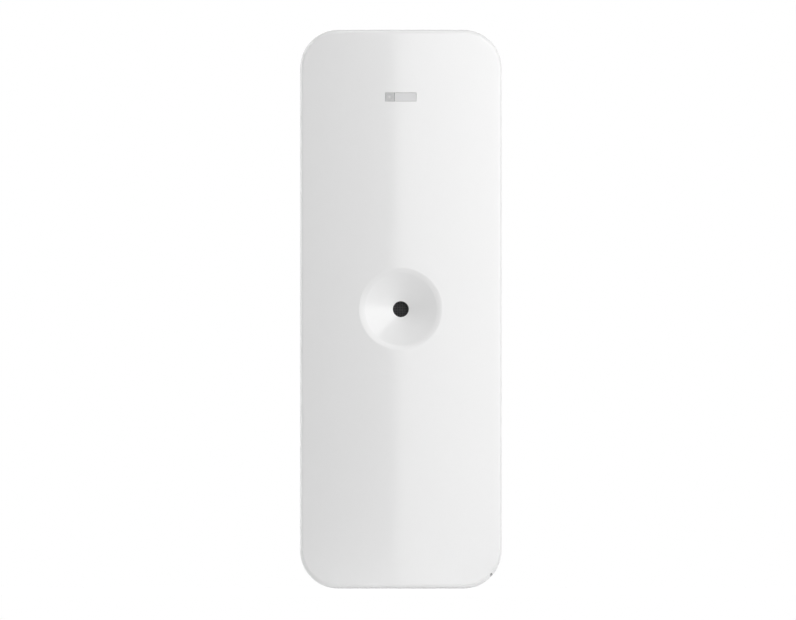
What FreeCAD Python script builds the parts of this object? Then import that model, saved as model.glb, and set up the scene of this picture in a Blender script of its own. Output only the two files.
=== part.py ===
"""Glass break sensor: a wall-mounted acoustic detector in a two-piece white case.

+Z is up, the curved front looks along -Y, and the origin is the centre of the wall face.
A depth below is a distance from the wall plane towards the front, so it is minus Y.
"""

import FreeCAD, Part
import math
import os

import Sketcher
from FreeCAD import Placement, Rotation, Vector

# Driving dimensions in millimetres.
SIZES = {
    # Case outline and walls
    "case_width": 38.6,
    "case_height": 107.0,
    "case_depth": 21.5,
    "corner_round": 7.3,
    "face_radius": 68.0,
    "face_edge_round": 0.9,
    "side_wall": 1.9,
    "front_wall": 2.0,
    # Dish and microphone port
    "dish_radius": 7.42,
    "dish_depth": 2.2,
    "dish_edge_round": 2.8,
    "port_radius": 1.53,
    "port_lip": 0.8,
    "dish_boss_radius": 5.8,
    "dish_boss_depth": 4.0,
    "locating_ring_height": 2.0,
    "mesh_radius": 3.0,
    "mesh_thickness": 0.3,
    "mesh_clearance": 0.08,
    # Indicator window
    "window_width": 5.97,
    "window_height": 1.69,
    "window_drop": 12.9,
    "event_lens_width": 1.77,
    "lens_clearance": 0.03,
    "lens_recess": 0.12,
    "lens_flange": 1.0,
    "lens_flange_thickness": 0.9,
    "lens_seat_gap": 0.2,
    "lens_leg_length": 1.1,
    "lens_leg_height": 1.2,
    "lens_leg_margin": 0.35,
    # Openings in the bottom end
    "lock_hole_radius": 0.72,
    "lock_hole_x": -2.35,
    "lock_hole_depth": 3.7,
    "lock_pilot_radius": 0.55,
    "pry_slot_width": 2.58,
    "pry_slot_x": 2.06,
    "pry_slot_length": 2.6,
    "nick_radius": 0.3,
    "nick_angle": 41.0,
    # Back plate
    "plate_thickness": 2.0,
    "plate_edge_chamfer": 0.4,
    "parting_gap": 0.15,
    "lip_thickness": 1.2,
    "lip_height": 2.6,
    "lip_clearance": 0.25,
    "wall_hole_radius": 2.1,
    "wall_hole_x": 12.4,
    "wall_hole_z": 36.0,
    "tamper_post_radius": 2.5,
    # Snap catches
    "finger_width": 8.0,
    "finger_thickness": 1.2,
    "finger_height": 7.4,
    "finger_z": 24.0,
    "finger_clearance": 0.25,
    "nose_height": 1.0,
    "nose_reach": 0.2,
    "nose_setback": 0.8,
    "groove_clearance": 0.3,
    "groove_reach": 0.35,
    # Circuit board
    "board_depth": 11.4,
    "board_thickness": 1.2,
    "board_clearance": 0.6,
    "board_corner_round": 4.8,
    "ledge_width": 4.0,
    "ledge_reach": 1.0,
    "ledge_z": 10.0,
    # Board screws and their bosses
    "screw_inset": 3.4,
    "screw_inset_z": 5.1,
    "screw_boss_radius": 2.4,
    "screw_radius": 1.1,
    "screw_clearance": 0.02,
    "screw_hole_clearance": 0.15,
    "screw_head_radius": 2.0,
    "screw_head_height": 1.5,
    "screw_length": 5.5,
    "recess_length": 2.0,
    "recess_width": 0.45,
    "recess_depth": 0.9,
    "gusset_thickness": 1.0,
    "gusset_drop": 0.6,
    "boss_root": 0.1,
    # Microphone and boot
    "boot_radius": 4.6,
    "boot_clearance": 0.1,
    "boot_channel_radius": 1.5,
    "capsule_radius": 3.0,
    "capsule_length": 3.4,
    # Indicator lamps and baffle
    "led_width": 0.8,
    "led_length": 1.6,
    "led_height": 0.6,
    "baffle_wall": 1.0,
    "well_height": 2.4,
    "baffle_gap": 0.3,
    # Battery and cradle
    "battery_radius": 8.5,
    "battery_length": 33.5,
    "battery_nub_radius": 3.2,
    "battery_nub_length": 1.0,
    "battery_depth": 10.7,
    "battery_inset": 7.6,
    "battery_edge_round": 0.6,
    "cradle_clearance": 0.15,
    "cradle_wall": 1.2,
    "cradle_back": 6.0,
    "cradle_front": 16.5,
    "cradle_slot_clearance": 0.25,
    "arm_length": 6.0,
    "arm_inset": 4.0,
    "ear_width": 5.0,
    "ear_reach": 3.0,
    "ear_thickness": 1.2,
    "ear_inset": 6.5,
    "peg_radius": 0.6,
    "peg_clearance": 0.05,
    "peg_proud": 0.3,
    "spring_room": 2.6,
    "contact_thickness": 0.4,
    "contact_width": 6.0,
    "contact_foot": 2.0,
    "contact_reach": 4.2,
    "bow_thickness": 0.3,
    "bow_span": 7.0,
    "bow_inset": 0.5,
    "pad_width": 12.0,
    "pad_length": 20.0,
    "pad_thickness": 0.8,
    "pad_clearance": 0.1,
    # Radio section
    "shield_width": 14.0,
    "shield_length": 11.0,
    "shield_height": 2.2,
    "shield_sheet": 0.2,
    "shield_round": 0.6,
    "shield_x": -3.0,
    "shield_z": 36.0,
    "shield_hole_radius": 0.5,
    "shield_hole_pitch": 3.0,
    "radio_chip_side": 5.0,
    "radio_chip_height": 0.9,
    "antenna_wire_radius": 0.45,
    "antenna_bend": 2.0,
    "antenna_rise": 4.4,
    "antenna_inset": 3.2,
    "antenna_feed_z": 12.0,
    "antenna_end_z": 29.0,
    # Chips and small parts
    "controller_side": 7.0,
    "controller_height": 1.0,
    "controller_x": -4.5,
    "controller_z": 8.0,
    "amplifier_width": 4.0,
    "amplifier_length": 5.0,
    "amplifier_height": 1.5,
    "amplifier_x": 4.2,
    "amplifier_z": 5.0,
    "crystal_length": 10.5,
    "crystal_width": 3.8,
    "crystal_height": 3.2,
    "crystal_x": -3.5,
    "crystal_z": 16.5,
    "capacitor_radius": 3.15,
    "capacitor_height": 5.8,
    "capacitor_base_side": 6.6,
    "capacitor_base_height": 0.8,
    "capacitor_x": -10.8,
    "capacitor_z": 0.5,
    "chip_length": 1.6,
    "chip_width": 0.8,
    "chip_capacitor_height": 0.8,
    "chip_resistor_height": 0.5,
    "chip_pitch": 2.0,
    "chip_row_pitch": 2.4,
    "chip_capacitor_x": -2.0,
    "chip_capacitor_z": -2.6,
    "chip_resistor_x": 5.0,
    "chip_resistor_z": 13.6,
    "header_x": -4.0,
    "header_z": 24.0,
    "header_pitch": 2.54,
    "header_base_height": 2.5,
    "header_pin_side": 0.64,
    "header_pin_height": 6.0,
    # Switches
    "switch_side": 6.0,
    "switch_height": 3.5,
    "switch_bore_depth": 1.6,
    "button_radius": 1.7,
    "button_clearance": 0.08,
    "button_proud": 1.0,
    "button_travel": 0.3,
    "button_stop_gap": 0.3,
    "pair_x": 10.2,
    "pair_z": 36.0,
    "tamper_x": 10.2,
    "tamper_z": 22.0,
    "tamper_height": 5.0,
    "tamper_bore_depth": 3.4,
    "plunger_proud": 2.1,
    "plunger_travel": 0.8,
    "plunger_gap": 0.3,
    "dip_width": 5.4,
    "dip_length": 6.2,
    "dip_height": 2.5,
    "dip_x": 10.8,
    "dip_z": 6.0,
    "dip_pitch": 2.54,
    "dip_slot_width": 1.2,
    "dip_slot_depth": 1.0,
    "slider_clearance": 0.1,
    "slider_length": 1.2,
    "slider_proud": 0.5,
    "slider_travel": 1.6,
}

# Half sizes of the space inside the case.
INNER_X = "(Size.case_width / 2 - Size.side_wall)"
INNER_Z = "(Size.case_height / 2 - Size.side_wall)"
INNER_CURVE = "(Size.face_radius - Size.front_wall)"

# Depths from the wall plane.
COVER_BACK = "(Size.plate_thickness + Size.parting_gap)"
COVER_INNER = "(Size.case_depth - Size.front_wall)"
PORT_FACE = "(Size.case_depth - Size.dish_depth)"
MESH_FRONT = f"({PORT_FACE} - Size.port_lip)"
BOSS_FACE = "(Size.case_depth - Size.dish_boss_depth)"
BOARD_BACK = "Size.board_depth"
BOARD_FRONT = "(Size.board_depth + Size.board_thickness)"
LENS_FLANGE_FRONT = f"({COVER_INNER} - Size.lens_seat_gap)"
LENS_FLANGE_BACK = f"({LENS_FLANGE_FRONT} - Size.lens_flange_thickness)"
LENS_LEG_BACK = f"({LENS_FLANGE_BACK} - Size.lens_leg_length)"
NOSE_FRONT = "(Size.plate_thickness + Size.finger_height - Size.nose_setback)"
NOSE_BACK = f"({NOSE_FRONT} - Size.nose_height)"
ANTENNA_DEPTH = f"({BOARD_BACK} - Size.antenna_rise)"

# Places in the XZ plane.
SCREW_X = f"({INNER_X} - Size.screw_inset)"
SCREW_Z = f"({INNER_Z} - Size.screw_inset_z)"
WINDOW_Z = "(Size.case_height / 2 - Size.window_drop)"
WINDOW_LEFT = "(-Size.window_width / 2)"
LENS_JOIN = f"({WINDOW_LEFT} + Size.event_lens_width)"
FINGER_OUTER = f"({INNER_X} - Size.finger_clearance)"
BATTERY_LOW = f"(-{INNER_Z} + Size.battery_inset)"
BATTERY_HIGH = f"({BATTERY_LOW} + Size.battery_length + Size.battery_nub_length)"
CRADLE_ROOM_LOW = f"({BATTERY_LOW} - Size.spring_room)"
CRADLE_ROOM_HIGH = f"({BATTERY_HIGH} + Size.contact_thickness)"
CRADLE_LOW = f"({CRADLE_ROOM_LOW} - Size.cradle_wall)"
CRADLE_HIGH = f"({CRADLE_ROOM_HIGH} + Size.cradle_wall)"
CRADLE_HALF = "(Size.battery_radius + Size.cradle_clearance + Size.cradle_wall)"
EAR_X = f"({CRADLE_HALF} + Size.ear_reach / 2)"
EAR_HEIGHTS = {
    "low": f"({CRADLE_ROOM_LOW} + Size.ear_inset)",
    "high": f"({CRADLE_ROOM_HIGH} - Size.ear_inset)",
}
BATTERY_MIDDLE = f"(({BATTERY_LOW} + {BATTERY_HIGH}) / 2)"
PLUNGER_TIP = f"({BOARD_BACK} - Size.tamper_height - Size.plunger_proud)"
ANTENNA_X = f"({INNER_X} - Size.antenna_inset)"
ANTENNA_Z = f"({INNER_Z} - Size.antenna_inset)"

SIDES = (-1, 1)
RESISTOR_ROWS = 2
RESISTORS_IN_ROW = 5
CAPACITORS_IN_ROW = 6
HEADER_COLUMNS = 3
HEADER_ROWS = 2

document = FreeCAD.newDocument("GlassBreakSensor")
sheet = document.addObject("Spreadsheet::Sheet", "Size")
for row, (alias, size) in enumerate(SIZES.items(), start=1):
    sheet.set(f"A{row}", alias)
    sheet.set(f"B{row}", str(size))
    sheet.setAlias(f"B{row}", alias)
document.recompute()


def value_of(formula):
    """Return a formula of the sheet's names as a number."""
    return float(sheet.evalExpression(formula))


def bind(item, formulas):
    """Tie each property of an object to its formula."""
    for name, formula in formulas.items():
        item.setExpression(name, formula)
    return item


def place(item, x, depth, z):
    """Tie an object's position to formulas."""
    return bind(item, {
        "Placement.Base.x": x,
        "Placement.Base.y": f"-({depth})",
        "Placement.Base.z": z,
    })


def block(name, width, height, back, front, x="0", z="0"):
    """Make a box centred on x and z that runs between two depths."""
    item = document.addObject("Part::Box", name)
    bind(item, {"Length": width, "Width": f"{front} - ({back})", "Height": height})
    return place(item, f"{x} - ({width}) / 2", front, f"{z} - ({height}) / 2")


def span(name, left, right, back, front, low, high):
    """Make a box from its six faces' places."""
    item = document.addObject("Part::Box", name)
    bind(item, {
        "Length": f"{right} - ({left})",
        "Width": f"{front} - ({back})",
        "Height": f"{high} - ({low})",
    })
    return place(item, left, front, low)


def side_span(name, side, inner, outer, back, front, low, high):
    """Make a box beside the right wall, or its mirror image beside the left wall."""
    if side > 0:
        return span(name, inner, outer, back, front, low, high)
    return span(name, f"-({outer})", f"-({inner})", back, front, low, high)


def rod(name, radius, back, front, x="0", z="0"):
    """Make a round bar along Y between two depths."""
    item = document.addObject("Part::Cylinder", name)
    item.Placement = Placement(Vector(), Rotation(Vector(1, 0, 0), 90))
    bind(item, {"Radius": radius, "Height": f"{front} - ({back})"})
    return place(item, x, back, z)


def upright(name, radius, low, high, x, depth):
    """Make a round bar along Z between two heights."""
    item = document.addObject("Part::Cylinder", name)
    bind(item, {"Radius": radius, "Height": f"{high} - ({low})"})
    return place(item, x, depth, low)


def crossbar(name, radius, left, right, depth, z):
    """Make a round bar along X between two places."""
    item = document.addObject("Part::Cylinder", name)
    item.Placement = Placement(Vector(), Rotation(Vector(0, 1, 0), 90))
    bind(item, {"Radius": radius, "Height": f"{right} - ({left})"})
    return place(item, left, depth, z)


def elbow(name, wire_radius, bend, start, finish, x, depth, z):
    """Make a quarter bend of round wire about a centre, from one direction to another."""
    item = document.addObject("Part::Torus", name)
    item.Angle3 = 90
    item.Placement = Placement(Vector(), Rotation(start, finish, start.cross(finish), "XYZ"))
    bind(item, {"Radius1": bend, "Radius2": wire_radius})
    return place(item, x, depth, z)


def fuse(name, *pieces):
    """Join touching or overlapping solids into one."""
    item = document.addObject("Part::MultiFuse", name)
    item.Shapes = list(pieces)
    item.Refine = True
    return item


def group(name, *pieces):
    """Keep separate solids together."""
    item = document.addObject("Part::Compound", name)
    item.Links = list(pieces)
    return item


def cut(name, base, *tools):
    """Remove every tool from the base."""
    item = document.addObject("Part::Cut", name)
    item.Base = base
    item.Tool = tools[0] if len(tools) == 1 else fuse(f"{name}_cuts", *tools)
    item.Refine = True
    return item


def inner_face_at(x):
    """Return the depth of the cover's curved inner face at a distance from the middle."""
    return f"({COVER_INNER} - {INNER_CURVE} + sqrt({INNER_CURVE}^2 - ({x})^2))"


def new_sketch(body, role, name, offset="0"):
    """Add a sketch on one of the body's origin planes, moved along the plane's normal."""
    sketch = body.newObject("Sketcher::SketchObject", name)
    plane = next(item for item in body.Origin.OriginFeatures if item.Role == role)
    sketch.AttachmentSupport = [(plane, "")]
    sketch.MapMode = "FlatFace"
    sketch.setExpression("AttachmentOffset.Base.z", offset)
    return sketch


def dimension(sketch, name, kind, references, formula):
    """Add a named dimension to a sketch and tie it to a formula."""
    value = value_of(formula)
    index = sketch.addConstraint(Sketcher.Constraint(kind, *references, value))
    sketch.renameConstraint(index, name)
    sketch.setExpression(f"Constraints.{name}", formula)


def join_corners(sketch, corners):
    """Make pairs of end points meet."""
    for first, first_end, second, second_end in corners:
        sketch.addConstraint(Sketcher.Constraint("Coincident", first, first_end, second, second_end))


def draw_rectangle(sketch, width, height):
    """Draw a rectangle about the sketch's origin."""
    half_x = value_of(f"({width}) / 2")
    half_y = value_of(f"({height}) / 2")
    corners = [
        Vector(-half_x, -half_y, 0),
        Vector(half_x, -half_y, 0),
        Vector(half_x, half_y, 0),
        Vector(-half_x, half_y, 0),
    ]
    for index, corner in enumerate(corners):
        sketch.addGeometry(Part.LineSegment(corner, corners[(index + 1) % 4]))
    join_corners(sketch, [(index, 2, (index + 1) % 4, 1) for index in range(4)])
    for line in (0, 2):
        sketch.addConstraint(Sketcher.Constraint("Horizontal", line))
    for line in (1, 3):
        sketch.addConstraint(Sketcher.Constraint("Vertical", line))
    sketch.addConstraint(Sketcher.Constraint("Symmetric", 0, 1, 2, 1, -1, 1))
    dimension(sketch, "width", "DistanceX", (0, 1, 0, 2), width)
    dimension(sketch, "height", "DistanceY", (1, 1, 1, 2), height)


def draw_curved_plan(sketch, width, back, front, curve):
    """Draw the plan of a block whose front bulges to a circle about a vertical axis."""
    half = value_of(f"({width}) / 2")
    back_y = -value_of(back)
    radius = value_of(curve)
    centre = Vector(0, radius - value_of(front), 0)
    swing = math.asin(half / radius)
    down = -math.pi / 2
    side_y = centre.y - radius * math.cos(swing)
    sketch.addGeometry(Part.LineSegment(Vector(-half, back_y, 0), Vector(half, back_y, 0)))
    sketch.addGeometry(Part.LineSegment(Vector(half, back_y, 0), Vector(half, side_y, 0)))
    circle = Part.Circle(centre, Vector(0, 0, 1), radius)
    sketch.addGeometry(Part.ArcOfCircle(circle, down - swing, down + swing))
    sketch.addGeometry(Part.LineSegment(Vector(-half, side_y, 0), Vector(-half, back_y, 0)))
    join_corners(sketch, [(0, 2, 1, 1), (1, 2, 2, 2), (2, 1, 3, 1), (3, 2, 0, 1)])
    sketch.addConstraint(Sketcher.Constraint("Horizontal", 0))
    sketch.addConstraint(Sketcher.Constraint("Vertical", 1))
    sketch.addConstraint(Sketcher.Constraint("Vertical", 3))
    sketch.addConstraint(Sketcher.Constraint("PointOnObject", 2, 3, -2))
    dimension(sketch, "right", "DistanceX", (-1, 1, 0, 2), f"({width}) / 2")
    dimension(sketch, "left", "DistanceX", (0, 1, -1, 1), f"({width}) / 2")
    dimension(sketch, "back", "DistanceY", (0, 2, -1, 1), back)
    dimension(sketch, "curve", "Radius", (2,), curve)
    dimension(sketch, "centre", "DistanceY", (-1, 1, 2, 3), f"{curve} - ({front})")


def padded_body(name, sketch_role, draw, offset, length):
    """Make a body with one sketch, drawn by the caller, and one pad."""
    body = document.addObject("PartDesign::Body", name)
    sketch = new_sketch(body, sketch_role, f"{name}_outline", offset)
    draw(sketch)
    pad = body.newObject("PartDesign::Pad", f"{name}_pad")
    pad.Profile = sketch
    pad.setExpression("Length", length)
    document.recompute()
    return body


def edges_along_y(shape):
    """Name the straight edges that run from the wall to the front."""
    return [
        f"Edge{index}"
        for index, edge in enumerate(shape.Edges, start=1)
        if isinstance(edge.Curve, Part.Line) and abs(edge.Curve.Direction.y) > 0.999
    ]


def edges_of_faces(shape, wanted):
    """Name the edges of every face that passes a test."""
    faces = [face for face in shape.Faces if wanted(face)]
    return [
        f"Edge{index}"
        for index, edge in enumerate(shape.Edges, start=1)
        if any(edge.isSame(other) for face in faces for other in face.Edges)
    ]


def dress_edges(body, kind, name, edges, size_name, formula):
    """Add a fillet or chamfer to named edges of the body's tip."""
    base = body.Tip
    feature = body.newObject(kind, name)
    feature.Base = (base, edges)
    feature.setExpression(size_name, formula)
    document.recompute()


def rounded_slab(name, width, height, corner, back, front):
    """Make a flat slab with rounded corners between two depths."""
    body = padded_body(
        name, "XZ_Plane", lambda sketch: draw_rectangle(sketch, width, height), back, f"{front} - ({back})"
    )
    corners = edges_along_y(body.Tip.Shape)
    dress_edges(body, "PartDesign::Fillet", f"{name}_corners", corners, "Radius", corner)
    return body


def curved_slab(name, width, height, corner, back, front, curve):
    """Make a slab with rounded corners whose front bulges about a vertical axis."""
    body = padded_body(
        name,
        "XY_Plane",
        lambda sketch: draw_curved_plan(sketch, width, back, front, curve),
        f"-({height}) / 2",
        height,
    )
    corners = edges_along_y(body.Tip.Shape)
    dress_edges(body, "PartDesign::Fillet", f"{name}_corners", corners, "Radius", corner)
    return body


BEYOND = "1"  # how far a cutting solid runs past the surface that it opens
ROOT = "0.3"  # how far a rib or boss runs into the wall that carries it


def make_cover_shell():
    """Make the hollow moulding with its rounded front edge, before bosses and openings."""
    outer = curved_slab(
        "cover_outer", "Size.case_width", "Size.case_height", "Size.corner_round",
        COVER_BACK, "Size.case_depth", "Size.face_radius",
    )
    curve = value_of("Size.face_radius")
    front_loop = edges_of_faces(
        outer.Shape,
        lambda face: isinstance(face.Surface, Part.Cylinder) and abs(face.Surface.Radius - curve) < 0.001,
    )
    dress_edges(outer, "PartDesign::Fillet", "front_edge", front_loop, "Radius", "Size.face_edge_round")
    inner = curved_slab(
        "cover_room", f"2 * {INNER_X}", f"2 * {INNER_Z}", "Size.corner_round - Size.side_wall",
        f"{COVER_BACK} - {BEYOND}", COVER_INNER, INNER_CURVE,
    )
    return cut("cover_shell", outer, inner)


def make_dish():
    """Make the shallow cone to remove, wider across so that its rim is round on the curved face."""
    mouth = f"(Size.case_depth + {BEYOND})"
    run = "(Size.dish_radius - Size.port_radius)"
    drop = "(Size.face_radius - sqrt(Size.face_radius^2 - Size.dish_radius^2))"
    widening = f"({mouth} - {PORT_FACE}) * {run}"
    port = document.addObject("Part::Circle", "dish_port")
    rim = document.addObject("Part::Ellipse", "dish_mouth")
    for item, depth in ((port, PORT_FACE), (rim, mouth)):
        item.Placement = Placement(Vector(), Rotation(Vector(1, 0, 0), 90))
        place(item, "0", depth, "0")
    bind(port, {"Radius": "Size.port_radius"})
    bind(rim, {
        "MajorRadius": f"Size.port_radius + {widening} / (Size.dish_depth - {drop})",
        "MinorRadius": f"Size.port_radius + {widening} / Size.dish_depth",
    })
    dish = document.addObject("Part::Loft", "dish")
    dish.Sections = [port, rim]
    dish.Solid = True
    dish.Ruled = True
    return dish


def make_cover_bosses():
    """Make the bosses, gussets and ledges inside the front cover."""
    pieces = [
        rod(
            "dish_boss", "Size.dish_boss_radius", f"{BOSS_FACE} - Size.locating_ring_height",
            f"{COVER_INNER} + {ROOT}",
        )
    ]
    boss_front = f"{inner_face_at(f'{SCREW_X} - Size.screw_boss_radius')} + Size.boss_root"
    for side in SIDES:
        pieces.append(side_span(
            f"ledge_{side}", side, f"{INNER_X} - Size.ledge_reach", f"{INNER_X} + {ROOT}",
            BOARD_FRONT, inner_face_at(f"{INNER_X} - Size.ledge_reach"),
            "Size.ledge_z - Size.ledge_width / 2", "Size.ledge_z + Size.ledge_width / 2",
        ))
        for end in SIDES:
            pieces.append(rod(
                f"screw_boss_{side}_{end}", "Size.screw_boss_radius", BOARD_FRONT, boss_front,
                f"{side} * {SCREW_X}", f"{end} * {SCREW_Z}",
            ))
            pieces.append(side_span(
                f"gusset_{side}_{end}", side, SCREW_X, f"{INNER_X} + {ROOT}",
                f"{BOARD_FRONT} + Size.gusset_drop", inner_face_at(SCREW_X),
                f"{end} * {SCREW_Z} - Size.gusset_thickness / 2",
                f"{end} * {SCREW_Z} + Size.gusset_thickness / 2",
            ))
    return pieces


def make_cover_openings():
    """Make the solids to remove from the front cover: port, window, catches and bottom openings."""
    tools = [
        make_dish(),
        rod("port", "Size.port_radius", f"{BOSS_FACE} - {BEYOND}", f"{PORT_FACE} + {ROOT}"),
        rod("mesh_seat", "Size.mesh_radius + Size.mesh_clearance", f"{BOSS_FACE} - {BEYOND}", MESH_FRONT),
        rod(
            "boot_seat", "Size.boot_radius + Size.boot_clearance",
            f"{BOSS_FACE} - Size.locating_ring_height - {BEYOND}", BOSS_FACE,
        ),
        block(
            "window", "Size.window_width", "Size.window_height", f"{COVER_INNER} - {BEYOND}",
            f"Size.case_depth + {BEYOND}", z=WINDOW_Z,
        ),
        upright(
            "lock_hole", "Size.lock_hole_radius", f"-Size.case_height / 2 - {BEYOND}",
            f"-{INNER_Z} + {BEYOND}", "Size.lock_hole_x", "Size.lock_hole_depth",
        ),
        span(
            "pry_slot", "Size.pry_slot_x - Size.pry_slot_width / 2",
            "Size.pry_slot_x + Size.pry_slot_width / 2",
            f"{COVER_BACK} - {BEYOND}", f"{COVER_BACK} + Size.pry_slot_length",
            f"-Size.case_height / 2 - {BEYOND}", f"-{INNER_Z} + {BEYOND}",
        ),
        make_nick(),
    ]
    for side in SIDES:
        for end in SIDES:
            tools.append(side_span(
                f"groove_{side}_{end}", side, f"{INNER_X} - {ROOT}", f"{INNER_X} + Size.groove_reach",
                f"{NOSE_BACK} - Size.groove_clearance", f"{NOSE_FRONT} + Size.groove_clearance",
                f"{end} * Size.finger_z - Size.finger_width / 2 - Size.groove_clearance",
                f"{end} * Size.finger_z + Size.finger_width / 2 + Size.groove_clearance",
            ))
            tools.append(rod(
                f"pilot_{side}_{end}", "Size.screw_radius + Size.screw_clearance",
                f"{BOARD_FRONT} - {BEYOND}", f"{BOARD_BACK} + Size.screw_length + {ROOT}",
                f"{side} * {SCREW_X}", f"{end} * {SCREW_Z}",
            ))
    return tools


def make_nick():
    """Make the small pit in the rounded edge of the lower right corner."""
    reach = "(Size.corner_round - Size.face_edge_round * (1 - cos(45)))"
    across = f"(Size.case_width / 2 - Size.corner_round + {reach} * cos(Size.nick_angle))"
    nick = document.addObject("Part::Sphere", "nick")
    bind(nick, {"Radius": "Size.nick_radius"})
    face = f"(Size.case_depth - Size.face_radius + sqrt(Size.face_radius^2 - {across}^2))"
    return place(
        nick, across, f"{face} - Size.face_edge_round * (1 - sin(45))",
        f"-(Size.case_height / 2 - Size.corner_round + {reach} * sin(Size.nick_angle))",
    )


def make_front_cover():
    """Make the front cover, and round the rim of its dish last."""
    solid = fuse("cover_solid", make_cover_shell(), *make_cover_bosses())
    opened = cut("cover_opened", solid, *make_cover_openings())
    document.recompute()
    rim_radius = value_of("Size.dish_radius")
    front = value_of("Size.case_depth")
    rim = [
        index
        for index, edge in enumerate(opened.Shape.Edges, start=1)
        if not edge.Degenerated and all(
            abs(math.hypot(point.x, point.z) - rim_radius) < rim_radius / 10 and abs(point.y + front) < 1
            for point in edge.discretize(9)
        )
    ]
    cover = document.addObject("Part::Fillet", "front_cover")
    cover.Base = opened
    edge_round = value_of("Size.dish_edge_round")
    cover.Edges = [(index, edge_round, edge_round) for index in rim]
    return cover


def make_back_plate():
    """Make the wall plate with its lip, snap fingers, tamper post and wall holes."""
    plate = rounded_slab(
        "plate_slab", "Size.case_width", "Size.case_height", "Size.corner_round", "0", "Size.plate_thickness"
    )
    wall_loop = edges_of_faces(plate.Shape, lambda face: abs(face.BoundBox.YMin) < 0.001)
    dress_edges(
        plate, "PartDesign::Chamfer", "wall_edge", wall_loop, "Size", "Size.plate_edge_chamfer"
    )
    lip_x = f"({INNER_X} - Size.lip_clearance)"
    lip_z = f"({INNER_Z} - Size.lip_clearance)"
    lip_round = "(Size.corner_round - Size.side_wall - Size.lip_clearance)"
    lip_front = "(Size.plate_thickness + Size.lip_height)"
    lip = cut(
        "lip",
        rounded_slab(
            "lip_outer", f"2 * {lip_x}", f"2 * {lip_z}", lip_round, "Size.plate_thickness", lip_front
        ),
        rounded_slab(
            "lip_room", f"2 * ({lip_x} - Size.lip_thickness)", f"2 * ({lip_z} - Size.lip_thickness)",
            f"{lip_round} - Size.lip_thickness", f"Size.plate_thickness - {ROOT}", f"{lip_front} + {BEYOND}",
        ),
    )
    pieces = [plate, lip, rod(
        "tamper_post", "Size.tamper_post_radius", f"Size.plate_thickness - {ROOT}",
        f"{PLUNGER_TIP} - Size.plunger_gap", "Size.tamper_x", "Size.tamper_z",
    )]
    for side in SIDES:
        for end in SIDES:
            low = f"({end} * Size.finger_z - Size.finger_width / 2)"
            high = f"({end} * Size.finger_z + Size.finger_width / 2)"
            pieces.append(side_span(
                f"finger_{side}_{end}", side, f"{FINGER_OUTER} - Size.finger_thickness", FINGER_OUTER,
                f"Size.plate_thickness - {ROOT}", "Size.plate_thickness + Size.finger_height", low, high,
            ))
            pieces.append(side_span(
                f"nose_{side}_{end}", side, f"{FINGER_OUTER} - {ROOT}", f"{FINGER_OUTER} + Size.nose_reach",
                NOSE_BACK, NOSE_FRONT, low, high,
            ))
    tools = [
        block(
            "pad_seat", "Size.pad_width + 2 * Size.pad_clearance", "Size.pad_length + 2 * Size.pad_clearance",
            "Size.plate_thickness - Size.pad_thickness", f"Size.plate_thickness + {BEYOND}", z=BATTERY_MIDDLE,
        ),
        upright(
            "lock_pilot", "Size.lock_pilot_radius", f"-{INNER_Z}",
            f"-{lip_z} + Size.lip_thickness + {ROOT}", "Size.lock_hole_x", "Size.lock_hole_depth",
        ),
    ]
    for side in SIDES:
        tools.append(rod(
            f"wall_hole_{side}", "Size.wall_hole_radius", f"-{BEYOND}", f"Size.plate_thickness + {BEYOND}",
            f"{side} * Size.wall_hole_x", f"{-side} * Size.wall_hole_z",
        ))
    return cut("back_plate", fuse("plate_solid", *pieces), *tools)


def make_port_parts():
    """Make the mesh behind the port, the microphone capsule and its rubber boot."""
    mesh = rod("port_mesh", "Size.mesh_radius", f"{MESH_FRONT} - Size.mesh_thickness", MESH_FRONT)
    capsule_front = f"{BOARD_FRONT} + Size.capsule_length"
    microphone = rod("microphone", "Size.capsule_radius", BOARD_FRONT, capsule_front)
    boot = cut(
        "mic_boot",
        rod("boot_body", "Size.boot_radius", BOARD_FRONT, BOSS_FACE),
        rod("boot_pocket", "Size.capsule_radius", f"{BOARD_FRONT} - {BEYOND}", capsule_front),
        rod("boot_channel", "Size.boot_channel_radius", BOARD_FRONT, f"{BOSS_FACE} + {BEYOND}"),
    )
    return [mesh, microphone, boot]


def make_lens(name, left, right, flange_left, flange_right):
    """Make one light pipe: a stem in the window, a flange behind it and a leg to its lamp."""
    gap = "Size.lens_clearance"
    stem = span(
        f"{name}_stem", f"{left} + {gap}", f"{right} - {gap}", LENS_FLANGE_FRONT,
        "Size.case_depth - Size.lens_recess",
        f"{WINDOW_Z} - Size.window_height / 2 + {gap}", f"{WINDOW_Z} + Size.window_height / 2 - {gap}",
    )
    flange = span(
        f"{name}_flange", flange_left, flange_right, LENS_FLANGE_BACK, LENS_FLANGE_FRONT,
        f"{WINDOW_Z} - Size.window_height / 2 - Size.lens_flange",
        f"{WINDOW_Z} + Size.window_height / 2 + Size.lens_flange",
    )
    leg = span(
        f"{name}_leg", f"{left} + Size.lens_leg_margin", f"{right} - Size.lens_leg_margin",
        LENS_LEG_BACK, LENS_FLANGE_BACK,
        f"{WINDOW_Z} - Size.lens_leg_height / 2", f"{WINDOW_Z} + Size.lens_leg_height / 2",
    )
    return fuse(name, stem, flange, leg)


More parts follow.
